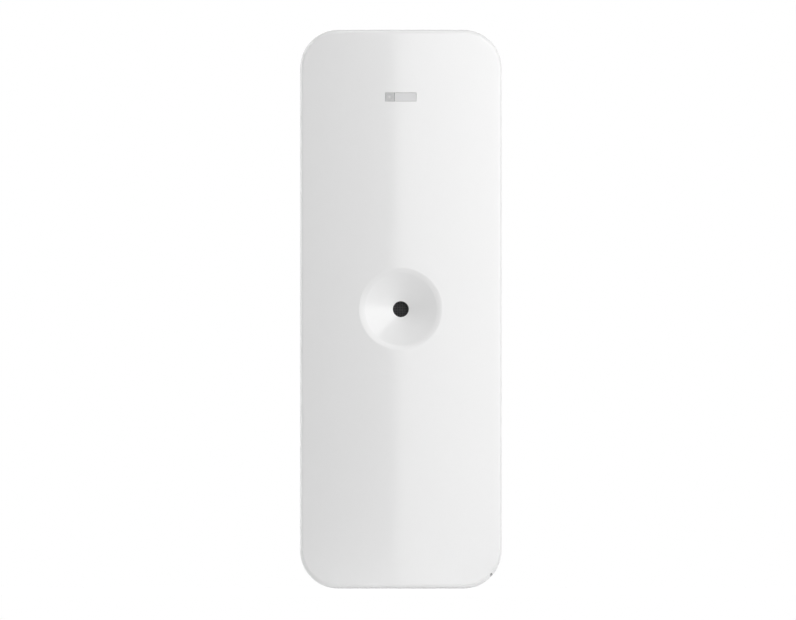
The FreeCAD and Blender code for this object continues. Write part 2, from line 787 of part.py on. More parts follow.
def make_indicators():
    """Make the two light pipes, their lamps and the baffle that keeps the lamps apart."""
    right = "(Size.window_width / 2)"
    lenses = [
        make_lens(
            "event_lens", WINDOW_LEFT, LENS_JOIN,
            f"{WINDOW_LEFT} - Size.lens_flange", f"{LENS_JOIN} - Size.lens_clearance",
        ),
        make_lens(
            "alarm_lens", LENS_JOIN, right,
            f"{LENS_JOIN} + Size.lens_clearance", f"{right} + Size.lens_flange",
        ),
    ]
    wells = {
        "event": (WINDOW_LEFT, f"({LENS_JOIN} - Size.baffle_wall / 2)"),
        "alarm": (f"({LENS_JOIN} + Size.baffle_wall / 2)", right),
    }
    tools = []
    lamps = []
    for name, (well_left, well_right) in wells.items():
        tools.append(span(
            f"{name}_well", well_left, well_right, f"{BOARD_FRONT} - {BEYOND}", f"{LENS_LEG_BACK} + {BEYOND}",
            f"{WINDOW_Z} - Size.well_height / 2", f"{WINDOW_Z} + Size.well_height / 2",
        ))
        lamps.append(block(
            f"{name}_led", "Size.led_width", "Size.led_length", BOARD_FRONT,
            f"{BOARD_FRONT} + Size.led_height", f"({well_left} + {well_right}) / 2", WINDOW_Z,
        ))
    body = block(
        "baffle_body", "Size.window_width + 2 * Size.baffle_wall", "Size.well_height + 2 * Size.baffle_wall",
        BOARD_FRONT, f"{LENS_LEG_BACK} - Size.baffle_gap", z=WINDOW_Z,
    )
    return lenses + lamps + [cut("light_baffle", body, *tools)]


def make_board():
    """Make the circuit board with its battery opening, screw holes and peg holes."""
    slab = rounded_slab(
        "board_slab", f"2 * ({INNER_X} - Size.board_clearance)", f"2 * ({INNER_Z} - Size.board_clearance)",
        "Size.board_corner_round", BOARD_BACK, BOARD_FRONT,
    )
    back = f"{BOARD_BACK} - {BEYOND}"
    front = f"{BOARD_FRONT} + {BEYOND}"
    slot = f"({CRADLE_HALF} + Size.cradle_slot_clearance)"
    tools = [span(
        "battery_opening", f"-{slot}", slot, back, front,
        f"{CRADLE_LOW} - Size.cradle_slot_clearance", f"{CRADLE_HIGH} + Size.cradle_slot_clearance",
    )]
    for side in SIDES:
        for end in SIDES:
            tools.append(rod(
                f"screw_hole_{side}_{end}", "Size.screw_radius + Size.screw_hole_clearance", back, front,
                f"{side} * {SCREW_X}", f"{end} * {SCREW_Z}",
            ))
        for end, height in EAR_HEIGHTS.items():
            tools.append(rod(
                f"peg_hole_{side}_{end}", "Size.peg_radius + Size.peg_clearance", back, front,
                f"{side} * {EAR_X}", height,
            ))
    return cut("circuit_board", slab, *tools)


def make_screw(name, x, z):
    """Make a pan head screw that enters from the wall side, with a cross recess."""
    head_back = f"({BOARD_BACK} - Size.screw_head_height)"
    body = fuse(
        f"{name}_body",
        rod(f"{name}_head", "Size.screw_head_radius", head_back, BOARD_BACK, x, z),
        rod(f"{name}_shank", "Size.screw_radius", BOARD_BACK, f"{BOARD_BACK} + Size.screw_length", x, z),
    )
    recess = [
        block(
            f"{name}_slot_{index}", width, height, f"{head_back} - {BEYOND}",
            f"{head_back} + Size.recess_depth", x, z,
        )
        for index, (width, height) in enumerate((
            ("Size.recess_length", "Size.recess_width"),
            ("Size.recess_width", "Size.recess_length"),
        ))
    ]
    return cut(name, body, *recess)


def make_board_screws():
    """Make the four screws that hold the board to the cover's bosses."""
    screws = [
        make_screw(f"screw_{side}_{end}", f"{side} * {SCREW_X}", f"{end} * {SCREW_Z}")
        for side in SIDES
        for end in SIDES
    ]
    return group("board_screws", *screws)


def make_battery():
    """Make the sealed cell with its raised positive end upwards."""
    can = upright(
        "battery_can", "Size.battery_radius", BATTERY_LOW, f"{BATTERY_LOW} + Size.battery_length",
        "0", "Size.battery_depth",
    )
    document.recompute()
    rounded = document.addObject("Part::Fillet", "battery_rounded")
    rounded.Base = can
    edge_round = value_of("Size.battery_edge_round")
    rounded.Edges = [
        (index, edge_round, edge_round)
        for index, edge in enumerate(can.Shape.Edges, start=1)
        if isinstance(edge.Curve, Part.Circle)
    ]
    nub = upright(
        "battery_nub", "Size.battery_nub_radius", f"{BATTERY_LOW} + Size.battery_length - {ROOT}",
        BATTERY_HIGH, "0", "Size.battery_depth",
    )
    return fuse("battery", rounded, nub)


def make_cradle():
    """Make the open frame that grips the cell from both sides, with ears and pegs on the board."""
    frame = span(
        "cradle_frame", f"-{CRADLE_HALF}", CRADLE_HALF, "Size.cradle_back", "Size.cradle_front",
        CRADLE_LOW, CRADLE_HIGH,
    )
    room = upright(
        "cradle_room", "Size.battery_radius + Size.cradle_clearance", CRADLE_ROOM_LOW, CRADLE_ROOM_HIGH,
        "0", "Size.battery_depth",
    )
    openings = [
        (CRADLE_ROOM_LOW, f"({CRADLE_ROOM_LOW} + Size.arm_inset)"),
        (
            f"({CRADLE_ROOM_LOW} + Size.arm_inset + Size.arm_length)",
            f"({CRADLE_ROOM_HIGH} - Size.arm_inset - Size.arm_length)",
        ),
        (f"({CRADLE_ROOM_HIGH} - Size.arm_inset)", CRADLE_ROOM_HIGH),
    ]
    gaps = [
        span(
            f"arm_gap_{index}", f"-{CRADLE_HALF} - {BEYOND}", f"{CRADLE_HALF} + {BEYOND}",
            f"Size.cradle_back - {BEYOND}", "Size.battery_depth", low, high,
        )
        for index, (low, high) in enumerate(openings)
    ]
    lugs = []
    for side in SIDES:
        for end, height in EAR_HEIGHTS.items():
            lugs.append(side_span(
                f"ear_{side}_{end}", side, f"{CRADLE_HALF} - {ROOT}", f"{CRADLE_HALF} + Size.ear_reach",
                f"{BOARD_BACK} - Size.ear_thickness", BOARD_BACK,
                f"{height} - Size.ear_width / 2", f"{height} + Size.ear_width / 2",
            ))
            lugs.append(rod(
                f"peg_{side}_{end}", "Size.peg_radius", f"{BOARD_BACK} - {ROOT}",
                f"{BOARD_FRONT} + Size.peg_proud", f"{side} * {EAR_X}", height,
            ))
    return fuse("battery_cradle", cut("cradle_walls", frame, room, *gaps), *lugs)


def make_contact_strip(name, inner, outer, up, tip_depth):
    """Make the bent strip that hooks over a cradle end: leaf, bridge, leg and solder foot."""
    sheet_metal = "Size.contact_thickness"
    width = "Size.contact_width"
    back = f"(Size.cradle_back - {sheet_metal})"
    foot_reach = "Size.contact_foot"

    def strip(part, rear, front, start, length):
        low, high = (start, f"{start} + {length}") if up > 0 else (f"{start} - ({length})", start)
        return span(f"{name}_{part}", f"-{width} / 2", f"{width} / 2", rear, front, low, high)

    wall = "(Size.cradle_wall + 2 * Size.contact_thickness)"
    return [
        strip("leaf", back, tip_depth, inner, sheet_metal),
        strip("bridge", back, "Size.cradle_back", inner, wall),
        strip("leg", back, BOARD_BACK, outer, sheet_metal),
        strip("foot", f"{BOARD_BACK} - {sheet_metal}", BOARD_BACK, outer, foot_reach),
    ]


def make_contacts():
    """Make the flat positive contact and the bowed negative one."""
    tip = "(Size.battery_depth + Size.contact_reach)"
    positive = make_contact_strip("positive", BATTERY_HIGH, CRADLE_HIGH, 1, tip)
    leaf_face = f"({CRADLE_ROOM_LOW} + Size.contact_thickness)"
    negative = make_contact_strip("negative", leaf_face, CRADLE_LOW, -1, tip)
    rise = "(Size.spring_room - Size.contact_thickness)"
    bow_radius = f"((Size.bow_span^2 / 4 + {rise}^2) / (2 * {rise}))"
    bow_z = f"{BATTERY_LOW} - {bow_radius}"
    half = "(Size.contact_width / 2 - Size.bow_inset)"
    ring = cut(
        "bow_ring",
        crossbar("bow_outer", bow_radius, f"-{half}", half, "Size.battery_depth", bow_z),
        crossbar(
            "bow_inner", f"{bow_radius} - Size.bow_thickness", f"-{half} - {BEYOND}", f"{half} + {BEYOND}",
            "Size.battery_depth", bow_z,
        ),
    )
    bow = document.addObject("Part::Common", "bow")
    bow.Base = ring
    bow.Tool = span(
        "bow_limit", f"-{half}", half, f"Size.battery_depth - {bow_radius}",
        f"Size.battery_depth + {bow_radius}", leaf_face, BATTERY_LOW,
    )
    return [fuse("positive_contact", *positive), fuse("negative_contact", bow, *negative)]


def make_radio():
    """Make the pressed screen, the chip under it and the bent wire antenna."""
    x = "Size.shield_x"
    z = "Size.shield_z"
    top = f"({BOARD_BACK} - Size.shield_height)"
    outer = rounded_slab(
        "shield_outer", "Size.shield_width", "Size.shield_length", "Size.shield_round", top, BOARD_BACK
    )
    place(outer, x, "0", z)
    room = block(
        "shield_room", "Size.shield_width - 2 * Size.shield_sheet",
        "Size.shield_length - 2 * Size.shield_sheet", f"{top} + Size.shield_sheet",
        f"{BOARD_BACK} + {BEYOND}", x, z,
    )
    vents = [
        rod(
            f"vent_{column}_{line}", "Size.shield_hole_radius", f"{top} - {BEYOND}", f"{top} + {BEYOND}",
            f"{x} + {column} * Size.shield_hole_pitch", f"{z} + {line} * Size.shield_hole_pitch",
        )
        for column in (-1, 0, 1)
        for line in (-0.5, 0.5)
    ]
    shield = cut("radio_shield", outer, room, *vents)
    chip = block(
        "radio_chip", "Size.radio_chip_side", "Size.radio_chip_side",
        f"{BOARD_BACK} - Size.radio_chip_height", BOARD_BACK, x, z,
    )
    return [shield, chip, make_antenna()]


def make_antenna():
    """Make the wire: up from its feed, round the top corners and down to its end post."""
    wire = "Size.antenna_wire_radius"
    bend = "Size.antenna_bend"
    low_depth = f"({ANTENNA_DEPTH} + {bend})"
    left, right, up, down, back = (
        Vector(-1, 0, 0), Vector(1, 0, 0), Vector(0, 0, 1), Vector(0, 0, -1), Vector(0, 1, 0)
    )
    top = f"({ANTENNA_Z} - {bend})"
    pieces = []
    for side, foot_z, outward in ((-1, "Size.antenna_feed_z", left), (1, "Size.antenna_end_z", right)):
        x = f"{side} * {ANTENNA_X}"
        pieces += [
            rod(f"antenna_leg_{side}", wire, low_depth, BOARD_BACK, x, foot_z),
            elbow(f"antenna_foot_bend_{side}", wire, bend, down, back, x, low_depth, f"{foot_z} + {bend}"),
            upright(f"antenna_rise_{side}", wire, f"{foot_z} + {bend}", top, x, ANTENNA_DEPTH),
            elbow(
                f"antenna_top_bend_{side}", wire, bend, outward, up,
                f"{side} * ({ANTENNA_X} - {bend})", ANTENNA_DEPTH, top,
            ),
        ]
    pieces.append(crossbar(
        "antenna_top", wire, f"-({ANTENNA_X} - {bend})", f"{ANTENNA_X} - {bend}", ANTENNA_DEPTH, ANTENNA_Z
    ))
    return fuse("antenna", *pieces)


def on_board(name, width, height, thickness, x, z):
    """Make a block that lies on the wall side of the board."""
    return block(name, width, height, f"{BOARD_BACK} - {thickness}", BOARD_BACK, x, z)


def make_chips():
    """Make the controller, amplifier, crystal and storage capacitor."""
    x = "Size.crystal_x"
    z = "Size.crystal_z"
    half_run = "((Size.crystal_length - Size.crystal_width) / 2)"
    crystal_back = f"{BOARD_BACK} - Size.crystal_height"
    crystal = fuse(
        "crystal",
        on_board("crystal_middle", f"2 * {half_run}", "Size.crystal_width", "Size.crystal_height", x, z),
        rod("crystal_left", "Size.crystal_width / 2", crystal_back, BOARD_BACK, f"{x} - {half_run}", z),
        rod("crystal_right", "Size.crystal_width / 2", crystal_back, BOARD_BACK, f"{x} + {half_run}", z),
    )
    base_side = "Size.capacitor_base_side"
    return [
        on_board(
            "controller_chip", "Size.controller_side", "Size.controller_side", "Size.controller_height",
            "Size.controller_x", "Size.controller_z",
        ),
        on_board(
            "amplifier_chip", "Size.amplifier_width", "Size.amplifier_length", "Size.amplifier_height",
            "Size.amplifier_x", "Size.amplifier_z",
        ),
        crystal,
        rod(
            "storage_capacitor", "Size.capacitor_radius", f"{BOARD_BACK} - Size.capacitor_height",
            f"{BOARD_BACK} - Size.capacitor_base_height", "Size.capacitor_x", "Size.capacitor_z",
        ),
        on_board(
            "capacitor_base", base_side, base_side, "Size.capacitor_base_height",
            "Size.capacitor_x", "Size.capacitor_z",
        ),
    ]


def make_chip_groups():
    """Make the rows of small capacitors and resistors."""
    capacitors = [
        on_board(
            f"chip_capacitor_{column}", "Size.chip_width", "Size.chip_length", "Size.chip_capacitor_height",
            f"Size.chip_capacitor_x + {column} * Size.chip_pitch", "Size.chip_capacitor_z",
        )
        for column in range(CAPACITORS_IN_ROW)
    ]
    resistors = [
        on_board(
            f"chip_resistor_{line}_{column}", "Size.chip_width", "Size.chip_length",
            "Size.chip_resistor_height", f"Size.chip_resistor_x + {column} * Size.chip_pitch",
            f"Size.chip_resistor_z + {line} * Size.chip_row_pitch",
        )
        for line in range(RESISTOR_ROWS)
        for column in range(RESISTORS_IN_ROW)
    ]
    return [group("chip_capacitors", *capacitors), group("chip_resistors", *resistors)]


def make_header():
    """Make the service header: a block with six square pins through it."""
    pins = [
        on_board(
            f"header_pin_{column}_{line}", "Size.header_pin_side", "Size.header_pin_side",
            "Size.header_pin_height",
            f"Size.header_x + {column - (HEADER_COLUMNS - 1) / 2} * Size.header_pitch",
            f"Size.header_z + {line - (HEADER_ROWS - 1) / 2} * Size.header_pitch",
        )
        for column in range(HEADER_COLUMNS)
        for line in range(HEADER_ROWS)
    ]
    body = on_board(
        "header_body", f"{HEADER_COLUMNS} * Size.header_pitch", f"{HEADER_ROWS} * Size.header_pitch",
        "Size.header_base_height", "Size.header_x", "Size.header_z",
    )
    header_pins = group("header_pins", *pins)
    return [cut("service_header", body, header_pins), header_pins]


def make_push_switch(switch_name, button_name, height, bore_depth, proud, travel, x, z):
    """Make a push switch with a bore, and the button that slides in it towards the board."""
    top = f"({BOARD_BACK} - {height})"
    body = on_board(f"{switch_name}_body", "Size.switch_side", "Size.switch_side", height, x, z)
    bore = rod(
        f"{switch_name}_bore", "Size.button_radius + Size.button_clearance", f"{top} - {BEYOND}",
        f"{top} + {bore_depth}", x, z,
    )
    button = rod(
        button_name, "Size.button_radius", f"{top} - {proud}",
        f"{top} + {bore_depth} - {travel} - Size.button_stop_gap", x, z,
    )
    return [cut(switch_name, body, bore), button]


def make_sensitivity_switch():
    """Make the two-way slide switch block and its two sliders, each at its lower stop."""
    top = f"({BOARD_BACK} - Size.dip_height)"
    slot_length = "(Size.slider_length + Size.slider_travel + 2 * Size.slider_clearance)"
    slots = []
    sliders = []
    for number, offset in ((1, -0.5), (2, 0.5)):
        x = f"Size.dip_x + {offset} * Size.dip_pitch"
        slots.append(block(
            f"slider_slot_{number}", "Size.dip_slot_width", slot_length, f"{top} - {BEYOND}",
            f"{top} + Size.dip_slot_depth", x, "Size.dip_z",
        ))
        sliders.append(block(
            f"sensitivity_slider_{number}", "Size.dip_slot_width - 2 * Size.slider_clearance",
            "Size.slider_length", f"{top} - Size.slider_proud",
            f"{top} + Size.dip_slot_depth - Size.slider_clearance",
            x, "Size.dip_z - Size.slider_travel / 2",
        ))
    body = on_board(
        "dip_body", "Size.dip_width", "Size.dip_length", "Size.dip_height", "Size.dip_x", "Size.dip_z"
    )
    return [cut("sensitivity_switch", body, *slots)] + sliders


def make_battery_pad():
    """Make the foam pad in its seat on the plate behind the cell."""
    return block(
        "battery_pad", "Size.pad_width", "Size.pad_length", "Size.plate_thickness - Size.pad_thickness",
        "Size.plate_thickness", z=BATTERY_MIDDLE,
    )


def make_pieces():
    """Make every piece of the sensor."""
    return [
        make_front_cover(),
        make_back_plate(),
        make_battery_pad(),
        *make_port_parts(),
        *make_indicators(),
        make_board(),
        make_board_screws(),
        make_battery(),
        make_cradle(),
        *make_contacts(),
        *make_radio(),
        *make_chips(),
        *make_chip_groups(),
        *make_header(),
        *make_push_switch(
            "pair_switch", "pair_button", "Size.switch_height", "Size.switch_bore_depth",
            "Size.button_proud", "Size.button_travel", "Size.pair_x", "Size.pair_z",
        ),
        *make_push_switch(
            "tamper_switch", "tamper_plunger", "Size.tamper_height", "Size.tamper_bore_depth",
            "Size.plunger_proud", "Size.plunger_travel", "Size.tamper_x", "Size.tamper_z",
        ),
        *make_sensitivity_switch(),
    ]


def check(pieces):
    """Stop if the document has a failed object or a piece has a bad shape."""
    for item in document.Objects:
        if "Invalid" in item.State or "Error" in item.State:
            raise RuntimeError(f"{item.Label} failed: {item.State}")
    for piece in pieces:
        if piece.Shape.isNull() or not piece.Shape.isValid() or piece.Shape.Volume <= 0:
            raise RuntimeError(f"{piece.Label} has a bad shape")


pieces = make_pieces()
document.recompute()
check(pieces)
os.makedirs("parts", exist_ok=True)
for piece in pieces:
    piece.Shape.exportStep(f"parts/{piece.Label}.step")
    print(f"{piece.Label}: {len(piece.Shape.Solids)} solids, {piece.Shape.Volume:.2f} mm3")
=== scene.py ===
"""Looks of the glass break sensor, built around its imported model.

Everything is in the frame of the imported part: +Z is up, the curved front looks along -Y and the origin
is the centre of the wall face. Surfaces are worked out in millimetres and made in metres.
"""

import logging
import math
from collections.abc import Callable, Sequence
from dataclasses import dataclass, field
from enum import Enum

import bmesh
import bpy
import numpy as np
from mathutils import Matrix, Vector


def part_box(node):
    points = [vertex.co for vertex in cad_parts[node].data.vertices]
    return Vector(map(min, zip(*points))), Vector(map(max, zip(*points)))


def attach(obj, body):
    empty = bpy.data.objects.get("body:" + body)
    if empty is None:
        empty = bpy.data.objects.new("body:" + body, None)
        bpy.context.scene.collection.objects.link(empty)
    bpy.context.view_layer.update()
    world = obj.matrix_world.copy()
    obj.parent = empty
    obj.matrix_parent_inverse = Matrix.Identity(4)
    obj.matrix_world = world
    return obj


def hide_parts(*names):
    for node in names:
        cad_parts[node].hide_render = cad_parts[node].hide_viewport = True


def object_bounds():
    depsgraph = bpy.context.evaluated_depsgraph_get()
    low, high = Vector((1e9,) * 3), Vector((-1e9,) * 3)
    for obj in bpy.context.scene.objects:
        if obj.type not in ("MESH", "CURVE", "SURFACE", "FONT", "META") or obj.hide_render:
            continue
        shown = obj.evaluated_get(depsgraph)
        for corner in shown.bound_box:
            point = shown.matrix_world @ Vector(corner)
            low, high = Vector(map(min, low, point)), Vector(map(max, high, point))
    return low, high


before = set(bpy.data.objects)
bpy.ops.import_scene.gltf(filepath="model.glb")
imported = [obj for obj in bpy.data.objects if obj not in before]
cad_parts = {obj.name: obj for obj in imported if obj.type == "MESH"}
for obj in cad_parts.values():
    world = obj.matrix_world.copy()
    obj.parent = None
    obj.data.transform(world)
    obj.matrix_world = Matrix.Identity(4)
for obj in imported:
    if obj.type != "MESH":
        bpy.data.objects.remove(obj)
CAD_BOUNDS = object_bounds()

LOG = logging.getLogger("sensor_scene")
MM = 0.001
CREASE_ANGLE = math.radians(50)
MERGE_DISTANCE = 2e-7
FLAT_ANGLE = math.radians(1)
UP = np.array((0.0, 0.0, 1.0))
# Flat marks start this far below the face that they lie on, in millimetres.
SUNK = -0.01


class Body(Enum):
    """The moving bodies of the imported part."""

    PLATE = "plate"
    HOUSING = "housing"
    TAMPER = "tamper"
    PAIR_PUSH = "pair_push"
    SLIDER_1 = "slider_1"
    SLIDER_2 = "slider_2"


class Facing(Enum):
    """Which way heights are measured from a seat."""

    WALL = 1.0
    ROOM = -1.0


class NodeChain:
    """Small helper that adds shader nodes to one material and joins them."""

    def __init__(self, name: str) -> None:
        """Make an empty material with a Principled shader.

        Args:
            name: the material's name.
        """
        self.material = bpy.data.materials.new(name)
        self.material.use_nodes = True
        self.tree = self.material.node_tree
        self.tree.nodes.clear()
        self.output = self.tree.nodes.new("ShaderNodeOutputMaterial")
        self.shader = self.tree.nodes.new("ShaderNodeBsdfPrincipled")
        self.join(self.shader.outputs["BSDF"], self.output.inputs["Surface"])
        self.place = self.tree.nodes.new("ShaderNodeTexCoord").outputs["Object"]

    def join(self, start: bpy.types.NodeSocket, end: bpy.types.NodeSocket) -> None:
        """Link one socket to another."""
        self.tree.links.new(start, end)

    def set(self, **values: object) -> None:
        """Set sockets of the Principled shader, named with underscores for spaces."""
        for key, value in values.items():
            self.shader.inputs[key.replace("_", " ")].default_value = value

    def noise(
        self, scale: float, detail: float = 2.0, stretch: Sequence[float] = (1, 1, 1)
    ) -> bpy.types.NodeSocket:
        """Add noise on object coordinates.

        Args:
            scale: the noise's repeats per metre.
            detail: how many finer layers it has.
            stretch: how much each axis is scaled first.

        Returns:
            The noise value's socket, from 0 to 1.
        """
        mapping = self.tree.nodes.new("ShaderNodeMapping")
        mapping.inputs["Scale"].default_value = tuple(stretch)
        self.join(self.place, mapping.inputs["Vector"])
        node = self.tree.nodes.new("ShaderNodeTexNoise")
        node.inputs["Scale"].default_value = scale
        node.inputs["Detail"].default_value = detail
        self.join(mapping.outputs["Vector"], node.inputs["Vector"])
        return node.outputs["Fac"]

    def bands(self, scale: float, axis: str, distortion: float = 0.0) -> bpy.types.NodeSocket:
        """Add a sine wave along one axis of object space.

        Args:
            scale: the wave node's scale, which gives scale / 0.3142 repeats per metre.
            axis: X, Y or Z.
            distortion: how much noise bends the wave.

        Returns:
            The wave value's socket, from 0 to 1.
        """
        node = self.tree.nodes.new("ShaderNodeTexWave")
        node.bands_direction = axis
        node.inputs["Scale"].default_value = scale
        node.inputs["Distortion"].default_value = distortion
        self.join(self.place, node.inputs["Vector"])
        return node.outputs["Fac"]

    def axis_value(self, axis: str) -> bpy.types.NodeSocket:
        """Return the socket of one object coordinate, X, Y or Z, in metres.

        Args:
            axis: X, Y or Z.

        Returns:
            The socket.
        """
        split = self.tree.nodes.new("ShaderNodeSeparateXYZ")
        self.join(self.place, split.inputs["Vector"])
        return split.outputs[axis]

    def distance_to(self, point: Sequence[float]) -> bpy.types.NodeSocket:
        """Return the socket of the distance from a point of object space, in metres.

        Args:
            point: the place, in metres.

        Returns:
            The socket.
        """
        node = self.tree.nodes.new("ShaderNodeVectorMath")
        node.operation = "DISTANCE"
        self.join(self.place, node.inputs[0])
        node.inputs[1].default_value = tuple(point)
        return node.outputs["Value"]

    def math(self, kind: str, first: object, second: object = 0.0) -> bpy.types.NodeSocket:
        """Combine two numbers or sockets with one Math operation.

        Args:
            kind: Blender's name of the operation.
            first: a socket or a number.
            second: a socket or a number.

        Returns:
            The result's socket.
        """
        node = self.tree.nodes.new("ShaderNodeMath")
        node.operation = kind
        for index, item in enumerate((first, second)):
            if isinstance(item, bpy.types.NodeSocket):
                self.join(item, node.inputs[index])
            else:
                node.inputs[index].default_value = float(item)
        return node.outputs["Value"]

    def spread(self, source: bpy.types.NodeSocket, low: float, high: float) -> bpy.types.NodeSocket:
        """Map a value from 0 to 1 onto a range."""
        return self.between(source, 0.0, 1.0, low, high)

    def between(
        self, source: bpy.types.NodeSocket, start: float, end: float, low: float, high: float
    ) -> bpy.types.NodeSocket:
        """Map one range of a value onto another, held at both ends.

        Args:
            source: the value.
            start: the value that becomes low.
            end: the value that becomes high.
            low: the result at the start.
            high: the result at the end.

        Returns:
            The result's socket.
        """
        node = self.tree.nodes.new("ShaderNodeMapRange")
        for name, value in (("From Min", start), ("From Max", end), ("To Min", low), ("To Max", high)):
            node.inputs[name].default_value = value
        self.join(source, node.inputs["Value"])
        return node.outputs["Result"]

    def mix_colour(
        self, factor: bpy.types.NodeSocket, first: object, second: Sequence[float]
    ) -> bpy.types.NodeSocket:
        """Blend two colours by a factor.

        Args:
            factor: the share of the second colour.
            first: linear red, green and blue, or the socket of a colour.
            second: linear red, green and blue.

        Returns:
            The blended colour's socket.
        """
        node = self.tree.nodes.new("ShaderNodeMix")
        node.data_type = "RGBA"
        if isinstance(first, bpy.types.NodeSocket):
            self.join(first, node.inputs["A"])
        else:
            node.inputs["A"].default_value = (*first, 1.0)
        node.inputs["B"].default_value = (*second, 1.0)
        self.join(factor, node.inputs["Factor"])
        return node.outputs["Result"]

    def bump(self, height: bpy.types.NodeSocket, strength: float, distance: float) -> None:
        """Drive the shader's normal from a height.

        Args:
            height: the height's socket.
            strength: the bump's share of its full effect.
            distance: the height of a value of 1, in metres.
        """
        node = self.tree.nodes.new("ShaderNodeBump")
        node.inputs["Strength"].default_value = strength
        node.inputs["Distance"].default_value = distance
        self.join(height, node.inputs["Height"])
        self.join(node.outputs["Normal"], self.shader.inputs["Normal"])


def shade(colour: Sequence[float], factor: float) -> tuple[float, ...]:
    """Return a colour scaled by a factor, and kept below 1."""
    return tuple(min(1.0, part * factor) for part in colour)


@dataclass(frozen=True)
class Finish:
    """One surface finish: its material's name, and the record's slot where that has another name."""

    name: str
    slot: str = field(default="", kw_only=True)

    @property
    def slot_name(self) -> str:
        """Return the record's slot."""
        return self.slot or self.name


@dataclass(frozen=True)
class MouldedPlastic(Finish):
    """A moulded plastic with a fine spark-eroded texture and faint flow mottle."""

    colour: tuple[float, float, float]
    roughness: float = 0.4
    mottle: float = 0.01
    grain_per_metre: float = 9000.0
    grain_height: float = 3e-6
    grain_strength: float = 0.25
    mottle_per_metre: float = 120.0
    see_through: float = 0.0

    def make(self) -> bpy.types.Material:
        """Build the material.

        Returns:
            The material.
        """
        chain = NodeChain(self.name)
        patches = chain.noise(self.mottle_per_metre, 3.0)
        colour = chain.mix_colour(
            patches, shade(self.colour, 1 - self.mottle), shade(self.colour, 1 + self.mottle)
        )
        chain.join(self.tint(chain, colour), chain.shader.inputs["Base Color"])
        gloss = chain.noise(self.grain_per_metre / 3, 2.0)
        roughness = chain.spread(gloss, self.roughness - 0.04, self.roughness + 0.04)
        chain.join(roughness, chain.shader.inputs["Roughness"])
        chain.set(IOR=1.49, Transmission_Weight=self.see_through)
        chain.bump(chain.noise(self.grain_per_metre, 3.0), self.grain_strength, self.grain_height)
        return chain.material

    def tint(self, chain: NodeChain, colour: bpy.types.NodeSocket) -> bpy.types.NodeSocket:
        """Return the base colour as it is; finishes that paint shade on top build on this."""
        return colour


@dataclass(frozen=True)
class CaseMoulding(MouldedPlastic):
    """The case's white plastic, with painted shade in the nick of its rim: a grey spot where shade falls in
    the dent.
    """

    nick: tuple[float, float, float] = (17.31 * MM, -19.0 * MM, -50.82 * MM)
    nick_radius: float = 0.3 * MM
    # The grey painted into the nick as shade.
    nick_painted_shade: tuple[float, float, float] = (0.5, 0.5, 0.5)

    def tint(self, chain: NodeChain, colour: bpy.types.NodeSocket) -> bpy.types.NodeSocket:
        """Paint shade into the nick: darken the colour where the distance to the nick's middle is about its
        radius or less.

        Args:
            chain: the material's nodes.
            colour: the colour before the painted shade.

        Returns:
            The socket of the colour with the painted shade.
        """
        # Painted shade: full grey inside the nick's radius, fading out over 0.1 mm.
        nick_shade_share = chain.between(
            chain.distance_to(self.nick), self.nick_radius, self.nick_radius + 0.1 * MM, 1.0, 0.0
        )
        return chain.mix_colour(nick_shade_share, colour, self.nick_painted_shade)


@dataclass(frozen=True)
class PlateMoulding(Finish):
    """The plate's white plastic, with round ejector marks where the mould's pins pushed."""

    colour: tuple[float, float, float]
    roughness: float = 0.42
    mark_x: float = 11.0 * MM
    mark_pitch: float = 24.0 * MM
    mark_radius: float = 1.9 * MM
    mark_edge: float = 0.15 * MM
    mark_depth: float = 6e-5

    def make(self) -> bpy.types.Material:
        """Build the material.

        A mark is where the distance to the nearest point of a lattice is under the mark's radius. The
        lattice has two columns, at plus and minus mark_x, and a row every mark_pitch.

        Returns:
            The material.
        """
        chain = NodeChain(self.name)
        patches = chain.noise(110.0, 3.0)
        colour = chain.mix_colour(patches, shade(self.colour, 0.992), shade(self.colour, 1.008))
        across = chain.math("SUBTRACT", chain.math("ABSOLUTE", chain.axis_value("X")), self.mark_x)
        along = chain.math("PINGPONG", chain.axis_value("Z"), self.mark_pitch / 2)
        across_squared = chain.math("MULTIPLY", across, across)
        along_squared = chain.math("MULTIPLY", along, along)
        distance = chain.math("SQRT", chain.math("ADD", across_squared, along_squared))
        mark = chain.between(
            distance, self.mark_radius - self.mark_edge, self.mark_radius + self.mark_edge, 0.0, 1.0
        )
        chain.join(chain.mix_colour(
            chain.between(mark, 0.0, 1.0, 0.35, 0.0), colour, shade(self.colour, 0.93)
        ), chain.shader.inputs["Base Color"])
        grain = chain.noise(7000.0, 3.0)
        gloss = chain.spread(mark, self.roughness - 0.14, self.roughness)
        roughness = chain.math("ADD", gloss, chain.spread(grain, -0.03, 0.03))
        chain.join(roughness, chain.shader.inputs["Roughness"])
        chain.set(IOR=1.49)
        chain.bump(chain.math("ADD", mark, chain.spread(grain, 0.0, 0.06)), 0.6, self.mark_depth)
        return chain.material


@dataclass(frozen=True)
class SheetMetal(Finish):
    """Plated or rolled sheet metal with fine streaks along one axis."""

    colour: tuple[float, float, float]
    roughness: float = 0.3
    streaks: tuple[float, float, float] = (1.0, 1.0, 12.0)
    streaks_per_metre: float = 900.0
    tarnish: float = 0.12
    metallic: float = 1.0

    def make(self) -> bpy.types.Material:
        """Build the material.

        Returns:
            The material.
        """
        chain = NodeChain(self.name)
        grain = chain.noise(self.streaks_per_metre, 4.0, self.streaks)
        colour = chain.mix_colour(grain, shade(self.colour, 1 - self.tarnish), self.colour)
        chain.join(colour, chain.shader.inputs["Base Color"])
        roughness = chain.spread(grain, self.roughness - 0.07, self.roughness + 0.1)
        chain.join(roughness, chain.shader.inputs["Roughness"])
        chain.set(Metallic=self.metallic)
        chain.bump(grain, 0.2, 4e-6)
        return chain.material


